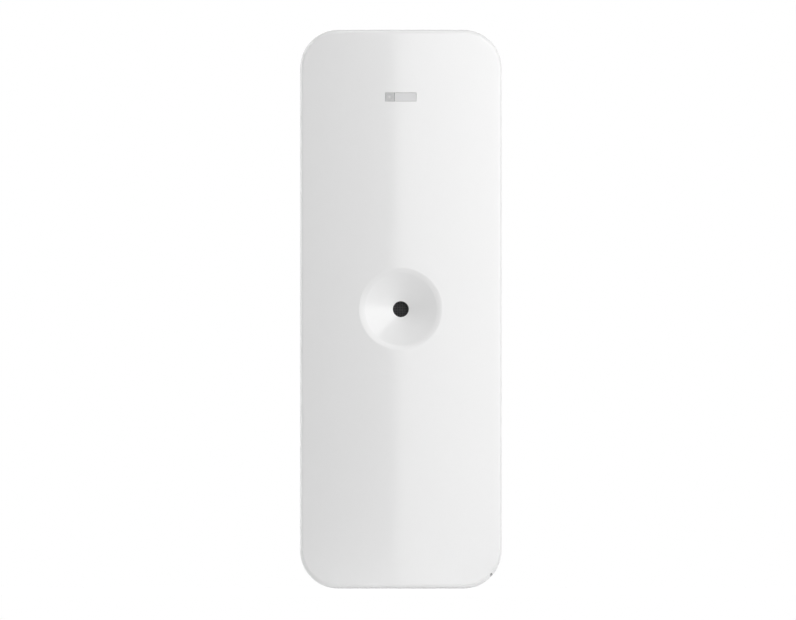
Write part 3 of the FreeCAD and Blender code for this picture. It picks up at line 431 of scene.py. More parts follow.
@dataclass(frozen=True)
class BoardLaminate(Finish):
    """Glass cloth laminate: a coloured mask on its faces and bare fibre on its cut edges."""

    colour: tuple[float, float, float]
    edge_colour: tuple[float, float, float]
    weave_scale: float = 500.0
    half_width: float = 16.8 * MM
    edge_band: float = 0.03 * MM

    def make(self) -> bpy.types.Material:
        """Build the material.

        Returns:
            The material.
        """
        chain = NodeChain(self.name)
        weave = chain.math(
            "MULTIPLY", chain.bands(self.weave_scale, "X", 0.6), chain.bands(self.weave_scale, "Z", 0.6)
        )
        mask = chain.mix_colour(weave, shade(self.colour, 0.94), shade(self.colour, 1.06))
        reach = chain.math("ABSOLUTE", chain.axis_value("X"))
        edge = chain.math("GREATER_THAN", reach, self.half_width - self.edge_band)
        chain.join(chain.mix_colour(edge, mask, self.edge_colour), chain.shader.inputs["Base Color"])
        chain.join(chain.spread(chain.noise(700.0, 3.0), 0.26, 0.38), chain.shader.inputs["Roughness"])
        chain.set(Coat_Weight=0.25, Coat_Roughness=0.2)
        chain.bump(weave, 0.15, 5e-6)
        return chain.material


@dataclass(frozen=True)
class CellSleeve(Finish):
    """Printed shrink sleeve of the cell: a dark body with one pale band."""

    body_colour: tuple[float, float, float]
    band_colour: tuple[float, float, float]
    band_from: float
    band_to: float
    line_gap: float = 0.8 * MM
    line_half: float = 0.15 * MM

    def make(self) -> bpy.types.Material:
        """Build the material.

        Returns:
            The material.
        """
        chain = NodeChain(self.name)
        height = chain.axis_value("Z")
        above = chain.math("GREATER_THAN", height, self.band_from)
        below = chain.math("LESS_THAN", height, self.band_to)
        band = chain.math("MULTIPLY", above, below)
        line = chain.math("LESS_THAN", chain.math("ABSOLUTE", chain.math(
            "SUBTRACT", height, self.band_from - self.line_gap)), self.line_half)
        scuffs = chain.between(chain.noise(1400.0, 5.0), 0.5, 0.75, 0.0, 0.12)
        colour = chain.mix_colour(chain.math("MAXIMUM", band, line), self.body_colour, self.band_colour)
        worn = chain.mix_colour(scuffs, colour, (0.30, 0.32, 0.36))
        chain.join(worn, chain.shader.inputs["Base Color"])
        wrinkle = chain.noise(260.0, 3.0, (1.0, 1.0, 0.25))
        chain.join(chain.spread(wrinkle, 0.22, 0.4), chain.shader.inputs["Roughness"])
        chain.set(Coat_Weight=0.4, Coat_Roughness=0.12)
        chain.bump(wrinkle, 0.3, 1.5e-5)
        return chain.material


@dataclass(frozen=True)
class Foam(Finish):
    """Open-cell foam or felt, with painted shade in the hollows of its cells."""

    colour: tuple[float, float, float]
    cells_per_metre: float = 3200.0

    def make(self) -> bpy.types.Material:
        """Build the material.

        Returns:
            The material.
        """
        chain = NodeChain(self.name)
        cells = chain.tree.nodes.new("ShaderNodeTexVoronoi")
        cells.inputs["Scale"].default_value = self.cells_per_metre
        chain.join(chain.place, cells.inputs["Vector"])
        depth = cells.outputs["Distance"]
        # Painted shade: the pits at the cells' middles are darker, as shade falls in them; the same value
        # drives the bump.
        colour = chain.mix_colour(depth, shade(self.colour, 0.5), shade(self.colour, 1.2))
        chain.join(colour, chain.shader.inputs["Base Color"])
        chain.set(Roughness=0.95)
        chain.bump(depth, 0.8, 1e-4)
        return chain.material


WHITE_CASE = CaseMoulding(
    "case_white", (0.86, 0.86, 0.86), roughness=0.14, mottle=0.003, grain_strength=0.12
)
WHITE_PLATE = PlateMoulding("plate_white", (0.82, 0.82, 0.815))
PORT_WIRE = SheetMetal("mesh_grey", (0.075, 0.075, 0.078), roughness=0.5, metallic=0.6)
CAPSULE = SheetMetal("capsule_metal", (0.78, 0.77, 0.74), roughness=0.28)
FELT = Foam("capsule_felt", (0.015, 0.015, 0.016), cells_per_metre=9000, slot="capsule_metal")
BOOT = MouldedPlastic(
    "boot_rubber", (0.028, 0.028, 0.03), roughness=0.72, grain_per_metre=4000, grain_height=1e-5
)
SMOKED = MouldedPlastic("smoked_lens", (0.55, 0.55, 0.555), roughness=0.25, mottle=0.01)
# Painted shade: a darker copy of the smoked lens for the ring round the dome.
SMOKED_RING_SHADED = MouldedPlastic("smoked_lens_ring_painted_shade", (0.49, 0.49, 0.495), roughness=0.2, slot="smoked_lens")
# Painted highlight: a lighter copy of the smoked lens for the dome's bright middle.
SMOKED_DOT_LIT = MouldedPlastic("smoked_lens_dot_painted_highlight", (0.65, 0.65, 0.65), roughness=0.2, slot="smoked_lens")
FROSTED = MouldedPlastic("frosted_lens", (0.71, 0.71, 0.715), roughness=0.35, mottle=0.01)
LAMP = MouldedPlastic("lamp_body", (0.78, 0.76, 0.62), roughness=0.25)
BAFFLE = MouldedPlastic("baffle_black", (0.02, 0.02, 0.021), roughness=0.5)
BOARD = BoardLaminate("board_green", (0.012, 0.12, 0.05), (0.35, 0.33, 0.18))
TRACK = BoardLaminate("board_track", (0.022, 0.19, 0.085), (0.022, 0.19, 0.085), slot="board_green")
SILK = MouldedPlastic("board_silk", (0.78, 0.78, 0.76), roughness=0.6, slot="board_green")
SOLDER = SheetMetal(
    "solder", (0.72, 0.72, 0.73), roughness=0.22, streaks=(1, 1, 1), tarnish=0.2, slot="screen_tin"
)
STEEL = SheetMetal("screw_steel", (0.62, 0.62, 0.63), roughness=0.3)
CRADLE = MouldedPlastic("cradle_black", (0.022, 0.022, 0.024), roughness=0.45)
NICKEL = SheetMetal("contact_nickel", (0.70, 0.68, 0.63), roughness=0.24)
TIN = SheetMetal("screen_tin", (0.74, 0.74, 0.73), roughness=0.3, streaks=(1.0, 1.0, 8.0))
CHIP = MouldedPlastic("chip_black", (0.017, 0.017, 0.018), roughness=0.55, grain_height=6e-6)
ANTENNA = SheetMetal("antenna_wire", (0.80, 0.74, 0.62), roughness=0.27)
CRYSTAL = SheetMetal("crystal_can", (0.76, 0.75, 0.72), roughness=0.22)
CAPACITOR_CAN = SheetMetal("capacitor_can", (0.80, 0.80, 0.80), roughness=0.25)
CAPACITOR_BASE = MouldedPlastic("capacitor_black", (0.02, 0.02, 0.02), roughness=0.5)
CERAMIC = MouldedPlastic("ceramic_tan", (0.42, 0.28, 0.16), roughness=0.4)
ALUMINA = MouldedPlastic("alumina_white", (0.72, 0.72, 0.70), roughness=0.4, slot="resistor_black")
RESISTOR = MouldedPlastic("resistor_black", (0.02, 0.02, 0.022), roughness=0.3)
HEADER = MouldedPlastic("header_black", (0.019, 0.019, 0.02), roughness=0.5)
GOLD = SheetMetal("pin_gold", (0.86, 0.62, 0.24), roughness=0.2)
SWITCH = MouldedPlastic("switch_black", (0.022, 0.022, 0.023), roughness=0.45)
IVORY = MouldedPlastic("button_ivory", (0.74, 0.70, 0.58), roughness=0.38)
SLIDE_BLUE = MouldedPlastic("slide_switch_blue", (0.02, 0.10, 0.42), roughness=0.42)
SLIDER = MouldedPlastic("slider_white", (0.80, 0.80, 0.78), roughness=0.4)
FOAM = Foam("foam_grey", (0.16, 0.16, 0.165))
SLEEVE = CellSleeve("cell_sleeve", (0.03, 0.09, 0.25), (0.70, 0.70, 0.68), -0.019, -0.0125)

NODE_FINISHES = (
    WHITE_CASE, WHITE_PLATE, PORT_WIRE, CAPSULE, BOOT, SMOKED, FROSTED, LAMP, BAFFLE, BOARD, STEEL,
    CRADLE, NICKEL, TIN, CHIP, ANTENNA, CRYSTAL, CAPACITOR_CAN, CAPACITOR_BASE, CERAMIC, RESISTOR,
    HEADER, GOLD, SWITCH, IVORY, SLIDE_BLUE, SLIDER, FOAM, SLEEVE,
)


class PaintShop:
    """Holds each finish once and puts it on the carried-over nodes."""

    def __init__(self) -> None:
        """Start with no finish made."""
        self.made: dict[str, bpy.types.Material] = {}

    def get(self, finish: Finish) -> bpy.types.Material:
        """Return a finish's material, made on first use.

        Args:
            finish: the finish that is wanted.

        Returns:
            The material.
        """
        if finish.name not in self.made:
            self.made[finish.name] = finish.make()
        return self.made[finish.name]

    def dress_nodes(self) -> None:
        """Give every carried-over node the finish of its own slot."""
        by_slot = {finish.name: finish for finish in NODE_FINISHES}
        for name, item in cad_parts.items():
            slots = [material.name.split(".")[0] for material in item.data.materials]
            for index, slot in enumerate(slots):
                item.material_slots[index].material = self.get(by_slot[slot])
            LOG.info("dressed %s with %s", name, slots)


@dataclass(frozen=True)
class NodeBox:
    """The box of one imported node, in millimetres."""

    low: np.ndarray
    high: np.ndarray

    @classmethod
    def of(cls, node: str) -> "NodeBox":
        """Return the box of a node by its name."""
        low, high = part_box(node)
        return cls(np.array(low) / MM, np.array(high) / MM)

    @property
    def centre(self) -> np.ndarray:
        """Return the middle point."""
        return (self.low + self.high) / 2

    @property
    def size(self) -> np.ndarray:
        """Return the three lengths."""
        return self.high - self.low


@dataclass(frozen=True)
class Seat:
    """A spot on the part, in millimetres, and the way that heights are measured from it."""

    x: float
    y: float
    z: float
    facing: Facing = Facing.WALL

    def points(self, across: np.ndarray, up: np.ndarray, height: np.ndarray) -> np.ndarray:
        """Place points given across X, up Z and above the seat.

        Args:
            across: distances along X.
            up: distances along Z.
            height: distances from the seat, the way it faces.

        Returns:
            The points, with a last axis of x, y and z.
        """
        across, up, height = np.broadcast_arrays(across, up, height)
        return np.stack((self.x + across, self.y + self.facing.value * height, self.z + up), axis=-1)

    def shifted(self, across: float, up: float, height: float = 0.0) -> "Seat":
        """Return the seat moved across, up and away from its surface."""
        return Seat(self.x + across, self.y + self.facing.value * height, self.z + up, self.facing)


@dataclass
class Surface:
    """Points in millimetres of the part's frame, with four-cornered faces and end caps."""

    points: np.ndarray
    quads: np.ndarray
    caps: list[np.ndarray]


def grid_quads(rows: int, columns: int, wrap_rows: bool = False) -> np.ndarray:
    """Number the faces of a grid whose columns close on themselves.

    Args:
        rows: how many rings of points there are.
        columns: how many points a ring has.
        wrap_rows: whether the last ring joins the first.

    Returns:
        Four point numbers for each face.
    """
    row, column = np.meshgrid(np.arange(rows if wrap_rows else rows - 1), np.arange(columns), indexing="ij")
    next_row, next_column = (row + 1) % rows, (column + 1) % columns
    corners = (
        row * columns + column, row * columns + next_column,
        next_row * columns + next_column, next_row * columns + column,
    )
    return np.stack(corners, axis=-1).reshape(-1, 4)


def ring_stack(rings: np.ndarray, wrap_rows: bool = False) -> Surface:
    """Join rings of points into a closed skin.

    Args:
        rings: an array of rings, points and coordinates.
        wrap_rows: whether the last ring joins the first, as in a hoop; otherwise both ends are capped.

    Returns:
        The surface.
    """
    rows, columns = rings.shape[:2]
    caps = [] if wrap_rows else [np.arange(columns), np.arange((rows - 1) * columns, rows * columns)]
    return Surface(rings.reshape(-1, 3), grid_quads(rows, columns, wrap_rows), caps)


def arc(middle: Sequence[float], radius: float, start: float, end: float, steps: int = 4) -> np.ndarray:
    """Return points on a circle: its middle plus the radius times the cosine and sine of an even turn.

    Args:
        middle: the centre, two numbers.
        radius: the circle's radius.
        start: the first angle in degrees.
        end: the last angle in degrees.
        steps: how many steps there are between them.

    Returns:
        An array of points, two numbers each.
    """
    turn = np.radians(np.linspace(start, end, steps + 1))
    return np.stack((middle[0] + radius * np.cos(turn), middle[1] + radius * np.sin(turn)), axis=-1)


def rounded_outline(half_x: np.ndarray, half_z: np.ndarray, corner: np.ndarray, steps: int = 3) -> np.ndarray:
    """Return closed outlines of rectangles with round corners.

    Each corner is a quarter circle whose middle lies one corner radius inside both edges.

    Args:
        half_x: half widths, one for each outline.
        half_z: half heights.
        corner: corner radii.
        steps: how many steps a corner has.

    Returns:
        An array of outlines, points and two coordinates.
    """
    half_x, half_z, corner = (np.asarray(value, float)[..., None] for value in (half_x, half_z, corner))
    quarter = np.repeat(np.arange(4), steps + 1)
    angle = np.tile(np.linspace(0, np.pi / 2, steps + 1), 4) + quarter * np.pi / 2
    side_x = np.array((1, -1, -1, 1))[quarter]
    side_z = np.array((1, 1, -1, -1))[quarter]
    x = side_x * (half_x - corner) + corner * np.cos(angle)
    z = side_z * (half_z - corner) + corner * np.sin(angle)
    return np.stack((x, z), axis=-1)


def edge_layers(height: float, top: float = 0.1, foot: float = 0.0, steps: int = 3) -> np.ndarray:
    """List how far each ring of a block lies inside its outline, and how high.

    The foot and the top are quarter circles: the inset is the radius times one minus a cosine.

    Args:
        height: the block's height.
        top: the rounding of the top edge.
        foot: the rounding of the bottom edge.
        steps: how many steps a rounding has.

    Returns:
        Pairs of inset and height, from the bottom up.
    """
    turn = np.linspace(0, np.pi / 2, steps + 1)
    low = np.stack((foot * (1 - np.sin(turn)), foot * (1 - np.cos(turn))), axis=-1)
    high = np.stack((top * (1 - np.cos(turn)), height - top * (1 - np.sin(turn))), axis=-1)
    return np.concatenate((low if foot else np.zeros((1, 2)), high))


def slab(
    seat: Seat, width: float, length: float, corner: float, layers: np.ndarray, steps: int = 3
) -> Surface:
    """Stack rounded rectangles, each inset and raised as its layer says.

    Args:
        seat: the middle of the block's foot.
        width: its size along X.
        length: its size along Z.
        corner: the radius of its upright edges.
        layers: pairs of inset and height.
        steps: how many steps a corner has.

    Returns:
        The closed surface.
    """
    inset, height = np.asarray(layers, float).T
    radius = np.maximum(corner - inset, 0.005)
    outline = rounded_outline(width / 2 - inset, length / 2 - inset, radius, steps)
    return ring_stack(seat.points(outline[..., 0], outline[..., 1], height[:, None]))


def turned(seat: Seat, profile: np.ndarray, steps: int = 48, hoop: bool = False) -> Surface:
    """Turn a profile of radius and height about the seat's axis.

    Args:
        seat: the foot of the axis.
        profile: pairs of radius and height.
        steps: how many steps the full turn has.
        hoop: whether the profile closes on itself instead of starting and ending on the axis.

    Returns:
        The closed surface.
    """
    radius, height = np.asarray(profile, float).T[..., None]
    angle = np.linspace(0, 2 * np.pi, steps, endpoint=False)
    return ring_stack(seat.points(radius * np.cos(angle), radius * np.sin(angle), height), hoop)


def turned_upright(
    x: float, y: float, profile: np.ndarray, steps: int = 96, hoop: bool = False
) -> Surface:
    """Turn a profile of radius and height about an upright axis.

    Args:
        x: the axis's place.
        y: the axis's place.
        profile: pairs of radius and z.
        steps: how many steps the full turn has.
        hoop: whether the profile closes on itself instead of starting and ending on the axis.

    Returns:
        The closed surface.
    """
    radius, height = np.asarray(profile, float).T[..., None]
    angle = np.linspace(0, 2 * np.pi, steps, endpoint=False)
    parts = np.broadcast_arrays(x + radius * np.cos(angle), y + radius * np.sin(angle), height)
    return ring_stack(np.stack(parts, axis=-1), hoop)


def swept(path: np.ndarray, section: np.ndarray, side: np.ndarray) -> Surface:
    """Carry a closed section along a path that lies in one plane.

    The section's first axis is the plane's normal, and its second is the cross product of the path's
    direction with that normal.

    Args:
        path: the points of the path.
        section: pairs of numbers round the section.
        side: the plane's normal.

    Returns:
        The capped surface.
    """
    way = np.gradient(path, axis=0)
    way /= np.linalg.norm(way, axis=1)[:, None]
    across = np.cross(way, side)
    rings = path[:, None] + section[None, :, :1] * side + section[None, :, 1:] * across[:, None]
    return ring_stack(rings)


def bent_path(corners: np.ndarray, bend: float, steps: int = 4) -> np.ndarray:
    """Round each inner corner of a path with a parabola that starts and ends one bend length from it.

    Args:
        corners: the corner points.
        bend: how far from its corner each curve starts.
        steps: how many steps a curve has.

    Returns:
        The points of the rounded path.
    """
    way = np.diff(corners, axis=0)
    way /= np.linalg.norm(way, axis=1)[:, None]
    inner = corners[1:-1, None]
    start = inner - way[:-1, None] * bend
    end = inner + way[1:, None] * bend
    share = np.linspace(0, 1, steps + 1)[None, :, None]
    curve = (1 - share) ** 2 * start + 2 * share * (1 - share) * inner + share ** 2 * end
    return np.concatenate((corners[:1], curve.reshape(-1, 3), corners[-1:]))


def side_steps(route: np.ndarray) -> np.ndarray:
    """Return the sideways step at each point of a flat route, for one unit of distance from it.

    At a corner it is the sum of both runs' normals divided by one plus the cosine of the turn, so that
    a line beside the route keeps its distance.

    Args:
        route: its points, across and up.

    Returns:
        One step for each point.
    """
    way = np.diff(route, axis=0)
    way /= np.linalg.norm(way, axis=1)[:, None]
    before, after = np.concatenate((way[:1], way)), np.concatenate((way, way[-1:]))
    normal = np.stack((-(before + after)[:, 1], (before + after)[:, 0]), axis=-1)
    return normal / (1 + (before * after).sum(axis=1))[:, None]


def strip(seat: Seat, route: np.ndarray, width: float, height: float, beside: float = 0.0) -> Surface:
    """Lay a flat strip along a route on a surface.

    Args:
        seat: the origin of the route.
        route: its points, across and up.
        width: the strip's width.
        height: its thickness.
        beside: how far to the route's left its middle lies.

    Returns:
        The capped surface.
    """
    route = np.asarray(route, float)
    step = side_steps(route)
    left = route + step * (beside + width / 2)
    right = route + step * (beside - width / 2)
    plan = np.stack((left, left, right, right), axis=1)
    heights = np.array((SUNK, height, height, SUNK))
    return ring_stack(seat.points(plan[..., 0], plan[..., 1], heights))


def hoop_plate(seat: Seat, outer: np.ndarray, inner: np.ndarray, low: float, high: float) -> Surface:
    """Make a flat plate between two outlines with as many points each.

    Args:
        seat: the origin of the outlines.
        outer: the outer outline.
        inner: the outline of the hole.
        low: the height of the underside.
        high: the height of the top.

    Returns:
        The closed surface.
    """
    plan = np.stack((outer, outer, inner, inner), axis=1)
    return ring_stack(seat.points(plan[..., 0], plan[..., 1], np.array((low, high, high, low))), True)


def polar_cap(
    seat: Seat, radius: float, foot: float, height_at: Callable[[np.ndarray, np.ndarray], np.ndarray],
    rings: int = 36, steps: int = 80,
) -> Surface:
    """Make a round block whose top is a height worked out at each place.

    The grid runs round and outwards: across is the radius times a cosine and up is it times a sine.

    Args:
        seat: the middle of the foot.
        radius: the block's radius.
        foot: the height of its foot.
        height_at: gives the top's height from across and up.
        rings: how many rings the top has.
        steps: how many points a ring has.

    Returns:
        The closed surface.
    """
    angle = np.linspace(0, 2 * np.pi, steps, endpoint=False)
    share = np.linspace(0, 1, rings)[:, None]
    across, up = radius * share * np.cos(angle), radius * share * np.sin(angle)
    top = seat.points(across, up, height_at(across, up))
    low = seat.points(across[-1:], up[-1:], np.array(foot))
    return ring_stack(np.concatenate((top, low)))


def smooth_step(value: np.ndarray) -> np.ndarray:
    """Return 0 below 0, 1 above 1, and a smooth rise between."""
    held = np.clip(value, 0, 1)
    return held * held * (3 - 2 * held)


def gull_lead(
    seat: Seat, start: Sequence[float], out: Sequence[float], reach: float, rise: float, width: float,
    thick: float = 0.16,
) -> Surface:
    """Bend one flat lead: level out of the body, down, and level on its pad.

    Args:
        seat: the origin on the board.
        start: where the lead leaves the body, across and up.
        out: the unit direction in which it leaves.
        reach: how far it stands out.
        rise: how high it leaves.
        width: its width.
        thick: its thickness.

    Returns:
        The capped surface.
    """
    distance = np.array((-0.15, 0.34, 0.52, 1.0)) * reach
    heights = np.array((rise, rise, thick / 2, thick / 2))
    corners = seat.points(start[0] + out[0] * distance, start[1] + out[1] * distance, heights)
    section = rounded_outline(width / 2, thick / 2, thick / 4, 1)
    return swept(bent_path(corners, reach * 0.12), section, np.array((-out[1], 0.0, out[0])))


def solder_fillet(seat: Seat, width: float, length: float, height: float, steps: int = 4) -> Surface:
    """Make a small hollow-sided heap of solder: it draws in by a squared share as it rises.

    Args:
        seat: the middle of the heap's foot.
        width: its size across.
        length: its size along.
        height: how high it rises.
        steps: how many layers it rises in.

    Returns:
        The closed surface.
    """
    share = np.linspace(0, 1, steps + 1)
    reach = min(width, length) * 0.42
    layers = np.stack((reach * (1 - (1 - share) ** 2), height * share ** 2), axis=-1)
    return slab(seat, width, length, min(width, length) * 0.3, layers, 2)


Layer = tuple[Finish, Sequence[Surface]]


class Bench:
    """Turns worked-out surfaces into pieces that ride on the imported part."""

    def __init__(self, shop: PaintShop) -> None:
        """Keep the shop that holds the finishes."""
        self.shop = shop

    def piece(
        self, name: str, body: Body, layers: Sequence[Layer], stands_for: Sequence[str] = ()
    ) -> bpy.types.Object:
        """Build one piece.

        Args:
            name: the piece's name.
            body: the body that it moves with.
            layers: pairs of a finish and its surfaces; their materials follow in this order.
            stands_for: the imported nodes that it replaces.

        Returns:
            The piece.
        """
        points, faces, marks = [], [], []
        count = 0
        for index, (_, surfaces) in enumerate(layers):
            for surface in surfaces:
                points.append(surface.points)
                faces += (surface.quads + count).tolist()
                faces += [(cap + count).tolist() for cap in surface.caps]
                marks += [index] * (len(surface.quads) + len(surface.caps))
                count += len(surface.points)
        mesh = bpy.data.meshes.new(name)
        mesh.from_pydata((np.concatenate(points) * MM).tolist(), [], faces)
        mesh.polygons.foreach_set("material_index", marks)
        for finish, _ in layers:
            mesh.materials.append(self.shop.get(finish))
        self.close(mesh)
        return self.seat_piece(mesh, body, stands_for)

    def softened(
        self, node: str, name: str, body: Body, finish: Finish, width: float, segments: int = 3
    ) -> bpy.types.Object:
        """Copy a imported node's mesh with its corners merged, and round its sharp edges.

        Args:
            node: the node to copy and replace.
            name: the piece's name.
            body: the body that it moves with.
            finish: its finish.
            width: the width of the rounding, in millimetres.
            segments: how many steps the rounding has.

        Returns:
            The piece.
        """
        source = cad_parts[node].data
        points = np.empty(len(source.vertices) * 3)
        source.vertices.foreach_get("co", points)
        corners = np.empty(len(source.loops), int)
        source.loops.foreach_get("vertex_index", corners)
        mesh = bpy.data.meshes.new(name)
        mesh.from_pydata(points.reshape(-1, 3).tolist(), [], corners.reshape(-1, 3).tolist())
        mesh.materials.append(self.shop.get(finish))
        self.close(mesh, flatten=True)
        item = self.seat_piece(mesh, body, (node,), weighted=False)
        bevel = item.modifiers.new("edge_rounding", "BEVEL")
        bevel.width = width * MM
        bevel.segments = segments
        bevel.limit_method = "ANGLE"
        bevel.angle_limit = math.radians(40)
        bevel.harden_normals = True
        self.weigh(item)
        return item

    def close(self, mesh: bpy.types.Mesh, flatten: bool = False) -> None:
        """Merge doubled points, point the faces outwards and mark the creases.

        Args:
            mesh: the mesh to finish.
            flatten: whether coplanar triangles are joined into single faces, and creases left to a bevel.
        """
        work = bmesh.new()
        work.from_mesh(mesh)
        bmesh.ops.remove_doubles(work, verts=work.verts, dist=MERGE_DISTANCE * (10 if flatten else 1))
        if flatten:
            bmesh.ops.dissolve_limit(work, angle_limit=FLAT_ANGLE, verts=work.verts, edges=work.edges)
        bmesh.ops.recalc_face_normals(work, faces=work.faces)
        work.to_mesh(mesh)
        work.free()
        mesh.shade_smooth()
        if not flatten:
            mesh.set_sharp_from_angle(angle=CREASE_ANGLE)

    def weigh(self, item: bpy.types.Object) -> None:
        """Let large flat faces set the normals at their borders."""
        weighted = item.modifiers.new("flat_faces", "WEIGHTED_NORMAL")
        weighted.keep_sharp = True

    def seat_piece(
        self, mesh: bpy.types.Mesh, body: Body, stands_for: Sequence[str],
        weighted: bool = True,
    ) -> bpy.types.Object:
        """Put a mesh on the part.

        Args:
            mesh: the finished mesh.
            body: the body that it moves with.
            stands_for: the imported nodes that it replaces.
            weighted: whether its normals are weighted here.

        Returns:
            The piece.
        """
        item = bpy.data.objects.new(mesh.name, mesh)
        bpy.context.scene.collection.objects.link(item)
        if weighted:
            self.weigh(item)
        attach(item, body.value)
        if stands_for:
            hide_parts(*stands_for)
        LOG.info("made %s, %d faces, for %s", item.name, len(mesh.polygons), stands_for or "the board")
        return item


@dataclass
class SoundPort:
    """Woven wire behind the port, and the microphone in its rubber boot."""

    wire_pitch: float = 0.32
    wire_radius: float = 0.07
    rim_width: float = 0.4
    steps_per_pitch: int = 4
    can_round: float = 0.18
    rim_reach: float = 0.45
    rim_depth: float = 0.15
    felt_height: float = 0.1
    boot_wall: float = 4.45
    boot_channel: float = 1.5
    boot_rib: float = 0.15

    def build(self, bench: Bench) -> None:
        """Make the three pieces.

        Args:
            bench: the bench that makes them.
        """
        self.build_weave(bench)
        self.build_capsule(bench)
        self.build_boot(bench)

    def build_weave(self, bench: Bench) -> None:
        """Weave round wires and bind them in a hoop.

        A wire's height is its radius times the cosine of half a turn for each pitch, and it starts half
        a turn later in each next wire. The wires that cross have the opposite sign, so they interlace.

        Args:
            bench: the bench that makes them.
        """
        box = NodeBox.of("port_mesh")
        radius = box.size[0] / 2
        inner = radius - self.rim_width / 2
        section = arc((0, 0), self.wire_radius, 0, 300, 5)
        most = int(inner / self.wire_pitch)
        wires = []
        for number in range(-most, most + 1):
            place = number * self.wire_pitch
            half = math.sqrt(inner ** 2 - place ** 2)
            count = max(3, round(2 * half / self.wire_pitch * self.steps_per_pitch))
            run = np.linspace(-half, half, count)
            wave = self.wire_radius * np.cos(np.pi * (run / self.wire_pitch + number))
            still = np.full_like(run, place)
            level = box.centre
            warp = np.stack((level[0] + run, level[1] + wave, level[2] + still), axis=-1)
            weft = np.stack((level[0] + still, level[1] - wave, level[2] + run), axis=-1)
            wires.append(swept(warp, section, UP))
            wires.append(swept(weft, section, np.array((1.0, 0.0, 0.0))))
        hoop = rounded_outline(self.rim_width / 2, box.size[1] / 2, 0.08)
        hoop = hoop + (radius - self.rim_width / 2, box.size[1] / 2)
        rim = turned(Seat(level[0], box.low[1], level[2]), hoop, 64, True)
        bench.piece("port_weave", Body.HOUSING, [(PORT_WIRE, wires + [rim])], ("port_mesh",))

    def build_capsule(self, bench: Bench) -> None:
        """Turn the drawn can with its rolled rim, and lay the felt in it.

        Args:
            bench: the bench that makes them.
        """
        box = NodeBox.of("microphone")
        radius, length = box.size[0] / 2, box.size[1]
        seat = Seat(box.centre[0], box.high[1], box.centre[2], Facing.ROOM)
        floor = length - self.rim_depth
        inner = radius - self.rim_reach
        can = np.concatenate((
            [(0, 0)],
            arc((radius - self.can_round, self.can_round), self.can_round, -90, 0),
            arc((radius - self.can_round, length - self.can_round), self.can_round, 0, 90),
            [(inner + 0.05, length), (inner, length - 0.05), (inner, floor), (0, floor)],
        ))
        edge = inner - 0.1
        felt = [
            (0, floor - 0.02), (edge, floor - 0.02), (edge, floor + self.felt_height * 0.6),
            (edge - 0.06, floor + self.felt_height), (0, floor + self.felt_height),
        ]
        bench.piece(
            "microphone_can", Body.HOUSING, [(CAPSULE, [turned(seat, can)]), (FELT, [turned(seat, felt)])],
            ("microphone",),
        )

    def build_boot(self, bench: Bench) -> None:
        """Turn the rubber boot: a pocket, a sound channel and two sealing ribs round its wall.

        The wall's radius is the plain one plus two bell curves of height.

        Args:
            bench: the bench that makes them.
        """
        box = NodeBox.of("mic_boot")
        can = NodeBox.of("microphone")
        length = box.size[1]
        seat = Seat(box.centre[0], box.high[1], box.centre[2], Facing.ROOM)
        pocket, pocket_depth = can.size[0] / 2 + 0.02, can.size[1] + 0.03
        height = np.linspace(0.25, length - 0.3, 30)
        bells = sum(np.exp(-((height - place) / 0.28) ** 2) for place in (length * 0.3, length * 0.7))
        wall = np.stack((self.boot_wall + self.boot_rib * bells, height), axis=-1)
        channel = self.boot_channel
        profile = np.concatenate((
            [(pocket, 0.0), (self.boot_wall - 0.2, 0.0)], wall, [(self.boot_wall - 0.25, length)],
            arc((channel + 0.2, length - 0.2), 0.2, 90, 180, 3),
            [(channel, pocket_depth), (pocket, pocket_depth)],
        ))
        bench.piece("boot_moulding", Body.HOUSING, [(BOOT, [turned(seat, profile, 64, True)])], ("mic_boot",))


